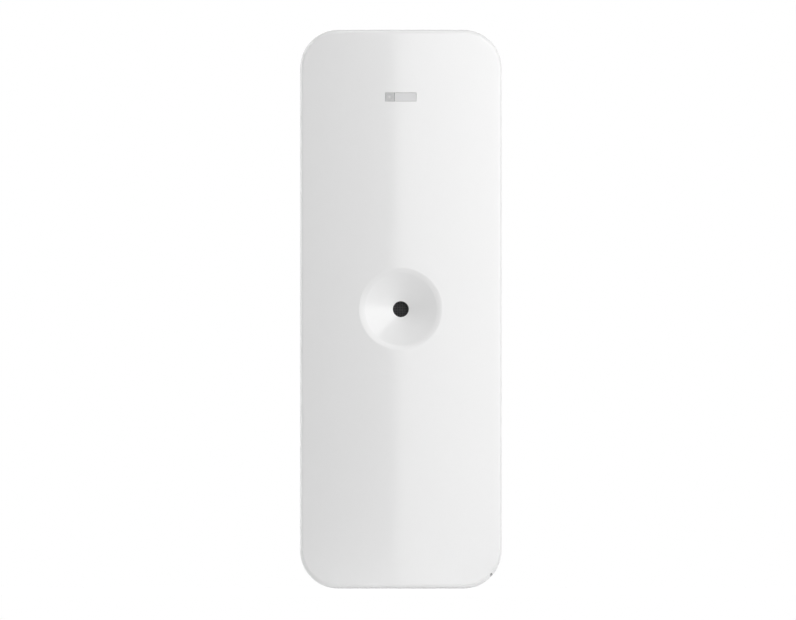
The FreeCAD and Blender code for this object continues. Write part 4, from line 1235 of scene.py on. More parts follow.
@dataclass
class IndicatorWindow:
    """The two light pipes in the window, with their lamps and the baffle on the board."""

    dot_across: float = -2.24
    dot_radius: float = 0.25
    dot_height: float = 0.07
    ring_radius: float = 0.6
    ring_wire: float = 0.045

    def build(self, bench: Bench) -> None:
        """Make the light pipes, the lamps and the baffle.

        Args:
            bench: the bench that makes them.
        """
        bench.softened("event_lens", "event_window", Body.HOUSING, SMOKED, 0.05)
        bench.softened("alarm_lens", "alarm_window", Body.HOUSING, FROSTED, 0.05)
        bench.softened("light_baffle", "baffle_moulding", Body.HOUSING, BAFFLE, 0.15)
        self.build_dot(bench)
        for node, name in (("event_led", "event_lamp"), ("alarm_led", "alarm_lamp")):
            self.build_lamp(bench, node, name)

    def build_dot(self, bench: Bench) -> None:
        """Mould the small dome and the ring that show in the dark square. The dome is a lighter copy of the
        lens plastic as painted highlight, and the ring a darker copy as painted shade.

        Args:
            bench: the bench that makes them.
        """
        box = NodeBox.of("event_lens")
        seat = Seat(self.dot_across, box.low[1], box.centre[2], Facing.ROOM)
        share = np.linspace(0, np.pi / 2, 7)
        dome = np.stack((self.dot_radius * np.cos(share), self.dot_height * np.sin(share)), axis=-1)
        dome = np.concatenate(([(0, -0.05), (self.dot_radius, -0.05)], dome))
        ring = arc((self.ring_radius, 0.0), self.ring_wire, 0, 330, 11)
        bench.piece("event_dot", Body.HOUSING, [
            (SMOKED_DOT_LIT, [turned(seat, dome, 32)]), (SMOKED_RING_SHADED, [turned(seat, ring, 48, True)]),
        ])

    def build_lamp(self, bench: Bench, node: str, name: str) -> None:
        """Make one surface lamp: a ceramic foot, a clear block with round edges and two end caps.

        Args:
            bench: the bench that makes it.
            node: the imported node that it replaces.
            name: its name.
        """
        box = NodeBox.of(node)
        width, height, length = box.size[0], box.size[1], box.size[2]
        seat = Seat(box.centre[0], box.high[1], box.centre[2], Facing.ROOM)
        foot = slab(seat, width, length * 0.96, 0.05, edge_layers(height * 0.35, 0.02))
        raised = seat.shifted(0, 0, height * 0.33)
        lens = slab(raised, width * 0.9, length * 0.66, 0.1, edge_layers(height * 0.65, 0.12))
        caps = edge_layers(height * 0.42, 0.03)
        ends = [
            slab(seat.shifted(0, side * length * 0.42), width, length * 0.16, 0.04, caps)
            for side in (-1, 1)
        ]
        bench.piece(name, Body.HOUSING, [(LAMP, [lens]), (ALUMINA, [foot]), (GOLD, ends)], (node,))


@dataclass
class BoardPrint:
    """Copper tracks under the mask, bare pads, vias and plain outlines on the board's wall side."""

    track_height: float = 0.035
    pad_height: float = 0.045
    mark_height: float = 0.02
    fine: float = 0.25
    power: float = 1.0
    bus_pitch: float = 0.5

    def build(self, bench: Bench) -> None:
        """Make the print in four pieces.

        Args:
            bench: the bench that makes them.
        """
        box = NodeBox.of("circuit_board")
        seat = Seat(0.0, box.high[1], 0.0)
        bench.piece("board_tracks", Body.HOUSING, [(TRACK, self.tracks(seat))])
        bench.piece("board_pads", Body.HOUSING, [(SOLDER, self.pads(seat))])
        bench.piece("board_vias", Body.HOUSING, [(GOLD, self.vias(seat))])
        bench.piece("board_marks", Body.HOUSING, [(SILK, self.marks(seat))])

    def bus(self, seat: Seat, route: Sequence[Sequence[float]], count: int) -> list[Surface]:
        """Lay several fine tracks side by side along a route.

        Args:
            seat: the origin on the board.
            route: points across and up.
            count: how many tracks there are.

        Returns:
            One surface for each track.
        """
        offsets = (np.arange(count) - (count - 1) / 2) * self.bus_pitch
        return [strip(seat, route, self.fine, self.track_height, offset) for offset in offsets]

    def tracks(self, seat: Seat) -> list[Surface]:
        """Lay the buses and the wide supply tracks from piece to piece.

        Args:
            seat: the origin on the board.

        Returns:
            The strips.
        """
        chip = NodeBox.of("controller_chip")
        amplifier = NodeBox.of("amplifier_chip")
        header = NodeBox.of("service_header")
        shield = NodeBox.of("radio_shield")
        tamper = NodeBox.of("tamper_switch")
        pair = NodeBox.of("pair_switch")
        small = NodeBox.of("chip_capacitors")
        left, right = chip.low[0] - 0.3, chip.high[0] + 0.3
        low, high = chip.low[2] - 0.3, chip.high[2] + 0.3
        column = -12.3
        found = self.bus(seat, (
            (left, chip.centre[2]), (column + 1.8, chip.centre[2]), (column, chip.centre[2] + 1.8),
            (column, shield.centre[2] - 2.6), (shield.low[0] - 1.2, shield.centre[2] - 1.5),
            (shield.low[0] - 0.2, shield.centre[2] - 1.5),
        ), 4)
        found += self.bus(seat, ((chip.centre[0], high), (chip.centre[0], header.low[2] - 0.2)), 5)
        found += self.bus(seat, (
            (header.centre[0], header.high[2] + 0.2), (header.centre[0], shield.low[2] - 0.2),
        ), 6)
        found += self.bus(seat, (
            (right, chip.centre[2] + 1), (right + 0.7, chip.centre[2] + 1),
            (amplifier.low[0] - 1.4, amplifier.centre[2]), (amplifier.low[0] - 1.0, amplifier.centre[2]),
        ), 4)
        found += self.bus(seat, (
            (tamper.centre[0], tamper.high[2] + 0.2), (pair.centre[0], pair.low[2] - 0.2),
        ), 3)
        found += self.bus(seat, (
            (chip.centre[0], low), (chip.centre[0], low - 1.6), (small.low[0] + 2.2, small.high[2] + 2.0),
            (small.low[0] + 2.2, small.high[2] + 0.2),
        ), 4)
        found += self.bus(seat, (
            (header.high[0] + 0.2, header.centre[2]), (header.high[0] + 3.4, header.centre[2]),
            (tamper.low[0] - 1.9, tamper.centre[2]), (tamper.low[0] - 1.3, tamper.centre[2]),
        ), 3)
        found.append(strip(seat, (
            (3.4, -49.3), (10.4, -49.3), (11.4, -48.3), (11.4, -45.6), (14.7, -43.3), (14.7, -9.4),
            (11.7, -6.4), (3.4, -6.4),
        ), self.power, self.track_height))
        found.append(strip(
            seat, ((-3.4, -6.4), (-6.2, -6.4), (-8.2, -4.4), (-8.2, -3.2)), self.power, self.track_height
        ))
        found.append(strip(
            seat, ((-14.9, -42.0), (-14.9, -9.0), (-13.2, -7.3), (-13.2, -3.2)), 0.6, self.track_height
        ))
        return found

    def pads(self, seat: Seat) -> list[Surface]:
        """Lay the round test pads, the sighting marks and the pads of the antenna's feet.

        Args:
            seat: the origin on the board.

        Returns:
            The pads.
        """
        found = []
        round_pad = [(0, SUNK), (0.6, SUNK), (0.6, self.pad_height), (0, self.pad_height)]
        for number in range(6):
            found.append(turned(seat.shifted(-13.4, -16.5 - 3.4 * number), round_pad, 24))
        for across, up in ((-9.0, 48.6), (9.0, 48.6), (-9.0, -49.6)):
            found.append(turned(seat.shifted(across, up), round_pad, 24))
        wire = NodeBox.of("antenna")
        half = wire.size[0] / 2 - 0.45
        for side, up in ((-1, wire.low[2] + 0.45), (1, 29.0)):
            found.append(self.wire_joint(seat.shifted(side * half, up)))
        return found

    def wire_joint(self, seat: Seat) -> Surface:
        """Turn a solder cone round a wire: its radius falls with the square of its height.

        Args:
            seat: the middle of the cone's foot.

        Returns:
            The closed surface.
        """
        share = np.linspace(0, 1, 7)
        cone = np.stack((0.47 + 0.75 * (1 - share) ** 2, 0.9 * share), axis=-1)
        return turned(seat, np.concatenate(([(0, SUNK), (1.22, SUNK)], cone, [(0, 0.92)])), 24)

    def vias(self, seat: Seat) -> list[Surface]:
        """Set small plated rings where tracks change sides.

        Args:
            seat: the origin on the board.

        Returns:
            The rings.
        """
        ring = [(0.14, SUNK), (0.34, SUNK), (0.34, self.pad_height), (0.14, self.pad_height)]
        places = [(-10.6 + 0.9 * number, 28.2) for number in range(4)]
        places += [(5.6, 20.0 + 1.6 * number) for number in range(8)]
        places += [(-15.6, -4.0 + 3.1 * number) for number in range(12)]
        places += [(15.6, -3.0 + 3.1 * number) for number in range(8)]
        places += [(-6.0 + 2.4 * number, 43.6) for number in range(6)]
        places += [(13.2, -35.0 + 3.6 * number) for number in range(5)]
        return [turned(seat.shifted(across, up), ring, 16, True) for across, up in places]

    def marks(self, seat: Seat) -> list[Surface]:
        """Print a thin outline round each chip, with a dot at its first corner.

        Args:
            seat: the origin on the board.

        Returns:
            The outlines and dots.
        """
        found = []
        nodes = (
            "controller_chip", "amplifier_chip", "crystal", "service_header", "tamper_switch", "pair_switch",
            "sensitivity_switch", "capacitor_base",
        )
        dot = [(0, SUNK), (0.28, SUNK), (0.28, self.mark_height), (0, self.mark_height)]
        for node in nodes:
            box = NodeBox.of(node)
            spot = seat.shifted(box.centre[0], box.centre[2])
            half_x, half_z = box.size[0] / 2 + 0.55, box.size[2] / 2 + 0.55
            outer = rounded_outline(half_x, half_z, 0.1, 1)
            inner = rounded_outline(half_x - 0.13, half_z - 0.13, 0.05, 1)
            found.append(hoop_plate(spot, outer, inner, SUNK, self.mark_height))
            found.append(turned(spot.shifted(-half_x - 0.45, half_z - 0.1), dot, 16))
        return found


@dataclass
class BoardScrews:
    """Four pan head screws with a cross recess and a real thread."""

    head_round: float = 0.5
    recess_half_length: float = 1.0
    recess_half_width: float = 0.22
    recess_depth: float = 0.8
    recess_edge: float = 0.1
    thread_pitch: float = 0.8
    thread_depth: float = 0.18

    def build(self, bench: Bench) -> None:
        """Make the screws as one group.

        Args:
            bench: the bench that makes them.
        """
        box = NodeBox.of("board_screws")
        board = NodeBox.of("circuit_board")
        head = box.high[1] - board.high[1]
        length = board.high[1] - box.low[1]
        across = box.size[0] / 2 - 2.0
        up = box.size[2] / 2 - 2.0
        surfaces = []
        for side in (-1, 1):
            for end in (-1, 1):
                seat = Seat(side * across, board.high[1], end * up)
                surfaces.append(polar_cap(seat, 2.0, 0.0, lambda x, z: self.head_height(x, z, head)))
                surfaces.append(self.thread(seat, length))
        bench.piece("cover_screws", Body.HOUSING, [(STEEL, surfaces)], ("board_screws",))

    def head_height(self, across: np.ndarray, up: np.ndarray, height: float) -> np.ndarray:
        """Work out the head's top: a flat pan with a round shoulder, less a cross with sloped walls.

        Args:
            across: distances from the middle along X.
            up: distances from the middle along Z.
            height: the head's full height.

        Returns:
            The top's heights.
        """
        reach = np.hypot(across, up)
        outside = np.clip((reach - (2.0 - self.head_round)) / self.head_round, 0, 1)
        pan = height - self.head_round * (1 - np.sqrt(1 - outside ** 2)) - 0.03 * reach ** 2
        arms = []
        for first, second in ((across, up), (up, across)):
            long_way = smooth_step((self.recess_half_length - np.abs(first)) / self.recess_edge)
            short_way = smooth_step((self.recess_half_width - np.abs(second)) / self.recess_edge)
            arms.append(long_way * short_way)
        return pan - self.recess_depth * np.maximum(*arms) * (1 - 0.35 * reach)

    def thread(self, seat: Seat, length: float) -> Surface:
        """Cut a thread: the radius falls and rises with height over pitch less the turn's share.

        Args:
            seat: where the shank leaves the head.
            length: how long the shank is.

        Returns:
            The capped shank.
        """
        angle = np.linspace(0, 2 * np.pi, 24, endpoint=False)
        depth = np.linspace(0, length - 0.05, 56)[:, None]
        wave = np.abs(((depth / self.thread_pitch - angle / (2 * np.pi)) % 1) - 0.5) * 2
        taper = np.minimum(1, (length - depth) / 0.9)
        radius = (1.08 - self.thread_depth * wave) * (0.35 + 0.65 * taper)
        return ring_stack(seat.points(radius * np.cos(angle), radius * np.sin(angle), -depth))


@dataclass
class CellPack:
    """The sleeved cell, its cradle and contacts, and the foam pad on the plate behind it."""

    can_gap: float = 0.07
    groove_drop: float = 3.0
    groove_depth: float = 0.35
    groove_half: float = 0.45
    edge: float = 0.6
    lap: float = 1.5
    nub_radius: float = 3.2
    nub_length: float = 1.0
    nub_round: float = 0.3
    washer_drop: float = 0.28
    pad_cells: tuple[int, int] = (72, 120)

    def build(self, bench: Bench) -> None:
        """Make the cell, the cradle, the contacts and the pad.

        Args:
            bench: the bench that makes them.
        """
        bench.softened("battery_cradle", "cradle_moulding", Body.HOUSING, CRADLE, 0.22)
        bench.softened("positive_contact", "positive_strip", Body.HOUSING, NICKEL, 0.09)
        bench.softened("negative_contact", "negative_spring", Body.HOUSING, NICKEL, 0.09)
        self.build_cell(bench)
        self.build_pad(bench)

    def wall(self, radius: float, low: float, high: float) -> np.ndarray:
        """Return the cell's side: a straight wall with a bell-shaped groove below its upper end.

        Args:
            radius: the wall's radius.
            low: its lower end.
            high: its upper end.

        Returns:
            Pairs of radius and z.
        """
        level = np.concatenate((np.linspace(low, high - 5, 8), np.linspace(high - 4.6, high, 26)))
        groove = self.groove_depth * np.exp(-((level - (high - self.groove_drop)) / self.groove_half) ** 2)
        return np.stack((radius - groove, level), axis=-1)

    def build_cell(self, bench: Bench) -> None:
        """Turn the can with its raised end, and the sleeve that laps over both ends.

        Args:
            bench: the bench that makes them.
        """
        box = NodeBox.of("battery")
        radius = box.size[0] / 2
        nub, nub_length = self.nub_radius, self.nub_length
        x, y = box.centre[0], box.centre[1]
        low, high = box.low[2], box.high[2] - nub_length
        edge = self.edge
        inner = radius - self.can_gap
        can = np.concatenate((
            [(0, low + 0.05), (inner - edge, low + 0.05)],
            arc((inner - edge, low + 0.05 + edge), edge, -90, 0, 6)[1:-1],
            self.wall(inner, low + edge + 0.1, high - edge - 0.1),
            arc((inner - edge, high - edge - 0.05), edge, 0, 90, 6),
            [(nub + 2.4, high - 0.05), (nub + 2.3, high - 0.3), (nub + 0.5, high - 0.3), (nub, high - 0.1)],
            arc((nub - self.nub_round, high + nub_length - self.nub_round), self.nub_round, 0, 90),
            [(0, high + nub_length)],
        ))
        skin = np.concatenate((
            [(radius - edge - self.lap, low + 0.04), (radius - edge - self.lap, low)],
            arc((radius - edge, low + edge), edge, -90, 0, 6),
            self.wall(radius, low + edge + 0.1, high - edge - 0.1),
            arc((radius - edge, high - edge), edge, 0, 90, 6),
            [(radius - edge - self.lap, high), (radius - edge - self.lap, high - 0.04)],
        ))
        back = np.concatenate((
            arc((inner - edge, high - edge - 0.04), edge, 90, 0, 6),
            self.wall(inner + 0.01, low + edge + 0.1, high - edge - 0.1)[::-1],
            arc((inner - edge, low + edge + 0.04), edge, 0, -90, 6),
        ))
        sleeve = turned_upright(x, y, np.concatenate((skin, back)), hoop=True)
        level = high - self.washer_drop
        inside, outside = nub + 0.6, nub + 2.2
        washer = turned_upright(x, y, np.array((
            (inside, level - 0.02), (outside, level - 0.02), (outside, level + 0.12), (inside, level + 0.12),
        )), 64, True)
        bench.piece("cell_can", Body.HOUSING, [
            (NICKEL, [turned_upright(x, y, can)]), (BAFFLE, [washer]),
        ], ("battery",))
        bench.piece("cell_wrap", Body.HOUSING, [(SLEEVE, [sleeve])])

    def build_pad(self, bench: Bench) -> None:
        """Make the foam pad: a crowned sheet with soft edges and open cells.

        Its half thickness at each place is the full one times a fourth-power fall towards the edges,
        less small pits from seeded noise that is averaged over its neighbours.

        Args:
            bench: the bench that makes them.
        """
        box = NodeBox.of("battery_pad")
        width, thick, length = box.size
        columns, rows = self.pad_cells
        u = np.linspace(-1, 1, columns)[None, :]
        v = np.linspace(-1, 1, rows)[:, None]
        noise = np.random.default_rng(7).random((rows, columns))
        pits = sum(np.roll(noise, step, axis) for step in (-1, 0, 1) for axis in (0, 1)) / 6
        pits = np.clip(0.5 - pits, 0, 1) * 0.5
        soft = (1 - np.abs(u) ** 24) * (1 - np.abs(v) ** 36)
        rise = thick * (0.45 + 0.55 * soft ** 0.5) - pits * soft
        draw = 1 - 0.006 * (1 - soft)
        x = box.centre[0] + u * width / 2 * draw
        z = box.centre[2] + v * length / 2 * draw
        front = np.stack(np.broadcast_arrays(x, box.high[1] - rise, z), axis=-1)
        ring_u = np.concatenate((np.arange(columns), np.full(rows - 2, columns - 1),
                                 np.arange(columns)[::-1], np.zeros(rows - 2, int)))
        ring_v = np.concatenate((np.zeros(columns, int), np.arange(1, rows - 1),
                                 np.full(columns, rows - 1), np.arange(1, rows - 1)[::-1]))
        border = front[ring_v, ring_u]
        foot = border.copy()
        foot[:, 1] = box.high[1]
        sheet = self.open_sheet(front)
        skirt = ring_stack(np.stack((border, foot)))
        skirt.caps = skirt.caps[1:]
        pad = bench.piece("cell_foam", Body.PLATE, [(FOAM, [sheet, skirt])], ("battery_pad",))

    def open_sheet(self, points: np.ndarray) -> Surface:
        """Join a grid of points into a sheet with free edges.

        Args:
            points: the places, in rows and columns.

        Returns:
            The sheet.
        """
        rows, columns = points.shape[:2]
        row, column = np.meshgrid(np.arange(rows - 1), np.arange(columns - 1), indexing="ij")
        first = row * columns + column
        quads = np.stack((first, first + 1, first + columns + 1, first + columns), axis=-1)
        return Surface(points.reshape(-1, 3), quads.reshape(-1, 4), [])


@dataclass
class RadioSection:
    """The pressed screen and the crystal; the antenna wire and the chip stay as packed."""

    def build(self, bench: Bench) -> None:
        """Make the screen and the crystal.

        Args:
            bench: the bench that makes them.
        """
        bench.softened("radio_shield", "screen_can", Body.HOUSING, TIN, 0.09)
        self.build_crystal(bench)
        self.build_screen_joints(bench)

    def build_crystal(self, bench: Bench) -> None:
        """Stack the crystal's oval can: a thin flange, a straight wall and a round shoulder.

        Args:
            bench: the bench that makes them.
        """
        box = NodeBox.of("crystal")
        width, height, length = box.size
        seat = Seat(box.centre[0], box.low[1], box.centre[2])
        layers = np.concatenate((
            [(0.0, 0.25), (0.0, 0.45), (0.32, 0.5)],
            edge_layers(height, 0.45, 0.0, 5)[1:] + (0.36, 0.0),
        ))
        can = slab(seat, width, length, length / 2 - 0.01, layers, 12)
        foot = slab(seat, width - 0.3, length - 0.2, 0.4, edge_layers(0.28, 0.04))
        tabs = [
            slab(seat.shifted(side * (width / 2 + 0.2), 0), 1.3, 0.7, 0.05, edge_layers(0.14, 0.04))
            for side in (-1, 1)
        ]
        bench.piece("crystal_case", Body.HOUSING, [
            (CRYSTAL, [can]), (CAPACITOR_BASE, [foot]), (SOLDER, tabs),
        ], ("crystal",))

    def build_screen_joints(self, bench: Bench) -> None:
        """Heap solder along the foot of the screen.

        Args:
            bench: the bench that makes them.
        """
        box = NodeBox.of("radio_shield")
        seat = Seat(box.centre[0], box.low[1], box.centre[2])
        joints = []
        for side in (-1, 1):
            for place in (-0.3, 0.3):
                joints.append(solder_fillet(
                    seat.shifted(side * (box.size[0] / 2 + 0.1), place * box.size[2]), 0.7, 2.2, 0.5
                ))
                joints.append(solder_fillet(
                    seat.shifted(place * box.size[0], side * (box.size[2] / 2 + 0.1)), 2.2, 0.7, 0.5
                ))
        bench.piece("screen_joints", Body.HOUSING, [(SOLDER, joints)])


@dataclass
class ChipRows:
    """The controller and amplifier chips, and the rows of small capacitors and resistors."""

    controller_pads: int = 12
    controller_pitch: float = 0.5
    amplifier_leads: int = 4
    amplifier_pitch: float = 1.27
    chip_pitch: float = 2.0
    row_pitch: float = 2.4
    capacitors: int = 6
    resistors: int = 5
    resistor_rows: int = 2
    chip_width: float = 0.8
    chip_length: float = 1.6
    cap_share: float = 0.22

    def build(self, bench: Bench) -> None:
        """Make the two chips and the two groups.

        Args:
            bench: the bench that makes them.
        """
        self.build_controller(bench)
        self.build_amplifier(bench)
        self.build_row(
            bench, "chip_capacitors", "capacitor_chips", 1, self.capacitors, (CERAMIC,), 0.0
        )
        self.build_row(
            bench, "chip_resistors", "resistor_chips", self.resistor_rows, self.resistors,
            (RESISTOR, ALUMINA), 0.06,
        )

    def build_controller(self, bench: Bench) -> None:
        """Make the flat controller with a row of end pads along each side and a dimple at its first.

        Args:
            bench: the bench that makes them.
        """
        box = NodeBox.of("controller_chip")
        side, height = box.size[0], box.size[1]
        seat = Seat(box.centre[0], box.low[1], box.centre[2])
        pads, joints = [], []
        for number in range(self.controller_pads):
            along = (number - (self.controller_pads - 1) / 2) * self.controller_pitch
            for edge in (-1, 1):
                reach = edge * (side / 2 - 0.13)
                for across, up, width, length in ((reach, along, 0.32, 0.24), (along, reach, 0.24, 0.32)):
                    spot = seat.shifted(across, up)
                    pads.append(slab(spot, width, length, 0.02, edge_layers(0.24, 0.02), 1))
                reach = edge * (side / 2 + 0.12)
                for across, up, width, length in ((reach, along, 0.34, 0.27), (along, reach, 0.27, 0.34)):
                    joints.append(solder_fillet(seat.shifted(across, up), width, length, 0.16, 3))
        body = slab(seat.shifted(0, 0, 0.02), side, side, 0.08, edge_layers(height - 0.02, 0.05))
        dimple = [(0.16, -0.02), (0.3, -0.02), (0.3, 0.012), (0.16, 0.012)]
        spot = seat.shifted(-side / 2 + 0.9, side / 2 - 0.9, height)
        bench.piece("controller_package", Body.HOUSING, [
            (CHIP, [body, turned(spot, dimple, 24, True)]), (SOLDER, pads + joints),
        ], ("controller_chip",))

    def build_amplifier(self, bench: Bench) -> None:
        """Make the amplifier: a body with drafted sides and four bent leads along each side.

        Args:
            bench: the bench that makes them.
        """
        box = NodeBox.of("amplifier_chip")
        width, height, length = box.size
        seat = Seat(box.centre[0], box.low[1], box.centre[2])
        layers = [(0.16, 0.1), (0.0, 0.78), (0.0, 0.84), (0.14, height - 0.05), (0.19, height)]
        body = slab(seat, width, length, 0.06, np.array(layers))
        notch = [(0.25, -0.02), (0.42, -0.02), (0.42, 0.015), (0.25, 0.015)]
        spot = seat.shifted(-width / 2 + 0.85, length / 2 - 0.85, height)
        leads, joints = [], []
        for number in range(self.amplifier_leads):
            up = (number - (self.amplifier_leads - 1) / 2) * self.amplifier_pitch
            for side in (-1, 1):
                leads.append(gull_lead(seat, (side * width / 2, up), (side, 0), 1.0, 0.8, 0.4))
                joints.append(solder_fillet(seat.shifted(side * (width / 2 + 0.8), up), 0.75, 0.56, 0.14))
        bench.piece("amplifier_package", Body.HOUSING, [
            (CHIP, [body, turned(spot, notch, 24, True)]), (TIN, leads), (SOLDER, joints),
        ], ("amplifier_chip",))

    def build_row(
        self, bench: Bench, node: str, name: str, rows: int, columns: int, finishes: Sequence[Finish],
        cover: float,
    ) -> None:
        """Make a block of small two-ended chips.

        Args:
            bench: the bench that makes them.
            node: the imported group.
            name: the piece's name.
            rows: how many rows there are.
            columns: how many chips a row has.
            finishes: the finish of the top, and of the body where it differs.
            cover: the thickness of the top layer, or 0 for a plain body.
        """
        box = NodeBox.of(node)
        height = box.size[1]
        tops, bodies, ends = [], [], []
        reach = self.chip_length * (0.5 - self.cap_share / 2)
        cap_length = self.chip_length * self.cap_share
        between_caps = self.chip_length * (1 - 2 * self.cap_share) + 0.1
        for row in range(rows):
            for column in range(columns):
                seat = Seat(
                    box.low[0] + self.chip_width / 2 + column * self.chip_pitch, box.low[1],
                    box.low[2] + self.chip_length / 2 + row * self.row_pitch,
                )
                bodies.append(slab(
                    seat, self.chip_width - 0.04, self.chip_length - 0.04, 0.04,
                    edge_layers(height - cover - 0.03, 0.03), 1,
                ))
                if cover:
                    tops.append(slab(
                        seat.shifted(0, 0, height - cover - 0.04), self.chip_width - 0.08, between_caps, 0.03,
                        edge_layers(cover + 0.02, 0.02), 1,
                    ))
                for side in (-1, 1):
                    ends.append(slab(
                        seat.shifted(0, side * reach), self.chip_width, cap_length, 0.05,
                        edge_layers(height, 0.06), 2,
                    ))
                    foot = seat.shifted(0, side * (self.chip_length / 2 + 0.12))
                    ends.append(solder_fillet(foot, self.chip_width, 0.42, height * 0.5))
        layers = [(finishes[0], tops), (finishes[-1], bodies)] if cover else [(finishes[0], bodies)]
        bench.piece(name, Body.HOUSING, layers + [(SOLDER, ends)], (node,))


@dataclass
class StorageCapacitor:
    """The aluminium can with its neck groove and scored vent, on its black foot."""

    neck_depth: float = 0.28
    neck_half: float = 0.22
    neck_rise: float = 0.9
    shoulder: float = 0.35
    score_depth: float = 0.14
    score_half: float = 0.13
    foot_cut: float = 1.3

    def build(self, bench: Bench) -> None:
        """Make the can, its painted segment and its foot.

        Args:
            bench: the bench that makes them.
        """
        can = NodeBox.of("storage_capacitor")
        radius, height = can.size[0] / 2, can.size[1]
        seat = Seat(can.centre[0], can.low[1], can.centre[2])
        level = np.linspace(0.02, height - self.shoulder, 44)
        neck = self.neck_depth * np.exp(-((level - self.neck_rise) / self.neck_half) ** 2)
        wall = np.stack((radius - neck, level), axis=-1)
        shoulder = arc((radius - self.shoulder, height - self.shoulder), self.shoulder, 0, 90, 6)
        rim = radius - self.shoulder
        side = np.concatenate((
            [(0, 0.0), (radius - 0.1, 0.0)], wall, shoulder,
            [(rim - 0.1, height - 0.06), (rim - 0.12, height - 0.3), (0, height - 0.3)],
        ))
        top = polar_cap(
            seat.shifted(0, 0, height - 0.34), rim - 0.1, 0.0, lambda x, z: 0.27 - self.score_at(x, z), 34, 80
        )
        bench.piece("capacitor_drum", Body.HOUSING, [
            (CAPACITOR_CAN, [turned(seat, side, 72), top]),
            (CAPACITOR_BASE, [self.segment(seat, rim - 0.2, height)]),
        ], ("storage_capacitor",))
        self.build_foot(bench)

    def score_at(self, across: np.ndarray, up: np.ndarray) -> np.ndarray:
        """Return how deep the vent's cross is at a place: a bell curve about each arm's middle line.

        Args:
            across: places to the side of the lid's middle.
            up: places above the lid's middle.

        Returns:
            The depth at each place.
        """
        arms = [
            np.exp(-(second / self.score_half) ** 2) * smooth_step((1.7 - np.abs(first)) / 0.3)
            for first, second in ((across, up), (up, across))
        ]
        return self.score_depth * np.maximum(*arms)

    def segment(self, seat: Seat, radius: float, height: float) -> Surface:
        """Print the dark segment that marks one terminal: an arc of the rim closed by its chord.

        Args:
            seat: the middle of the can's foot.
            radius: the arc's radius.
            height: the can's height.

        Returns:
            The closed surface.
        """
        outline = arc((0, 0), radius, 45, 135, 20)
        low = seat.points(outline[:, 0], outline[:, 1], np.array(height - 0.09))
        high = seat.points(outline[:, 0], outline[:, 1], np.array(height - 0.055))
        return ring_stack(np.stack((low, high)))

    def build_foot(self, bench: Bench) -> None:
        """Make the square foot with two cut corners, and the tinned leads that leave it.

        Args:
            bench: the bench that makes them.
        """
        box = NodeBox.of("capacitor_base")
        half, height = box.size[0] / 2, box.size[1]
        seat = Seat(box.centre[0], box.low[1], box.centre[2])
        cut = self.foot_cut
        corners = np.array((
            (half, half - cut), (half - cut, half), (-half + cut, half), (-half, half - cut),
            (-half, -half), (half, -half),
        ))
        shrink = np.array((1.0, 1.0, 0.985))[:, None, None]
        plan = corners[None] * shrink
        levels = np.array((0.0, height - 0.05, height))[:, None]
        foot = ring_stack(seat.points(plan[..., 0], plan[..., 1], levels))
        tabs = [
            slab(seat.shifted(0, side * (half + 0.25)), 0.8, 1.3, 0.05, edge_layers(0.14, 0.04), 1)
            for side in (-1, 1)
        ]
        layers = [(CAPACITOR_BASE, [foot]), (SOLDER, tabs)]
        bench.piece("capacitor_foot", Body.HOUSING, layers, ("capacitor_base",))


@dataclass
class ServiceHeader:
    """Six square gold pins with drawn tips in a black block."""

    columns: int = 3
    rows: int = 2
    pitch: float = 2.54
    side: float = 0.64
    tip: float = 0.55

    def build(self, bench: Bench) -> None:
        """Make the block and the pins.

        Args:
            bench: the bench that makes them.
        """
        bench.softened("service_header", "header_block", Body.HOUSING, HEADER, 0.12)
        box = NodeBox.of("header_pins")
        height = box.size[1]
        pins = []
        for column in range(self.columns):
            for row in range(self.rows):
                seat = Seat(
                    box.low[0] + self.side / 2 + column * self.pitch, box.low[1],
                    box.low[2] + self.side / 2 + row * self.pitch,
                )
                layers = [
                    (0.0, 0.0), (0.0, height - self.tip), (0.06, height - self.tip * 0.7), (0.2, height),
                ]
                pins.append(slab(seat, self.side, self.side, 0.05, np.array(layers), 2))
        bench.piece("header_needles", Body.HOUSING, [(GOLD, pins)], ("header_pins",))


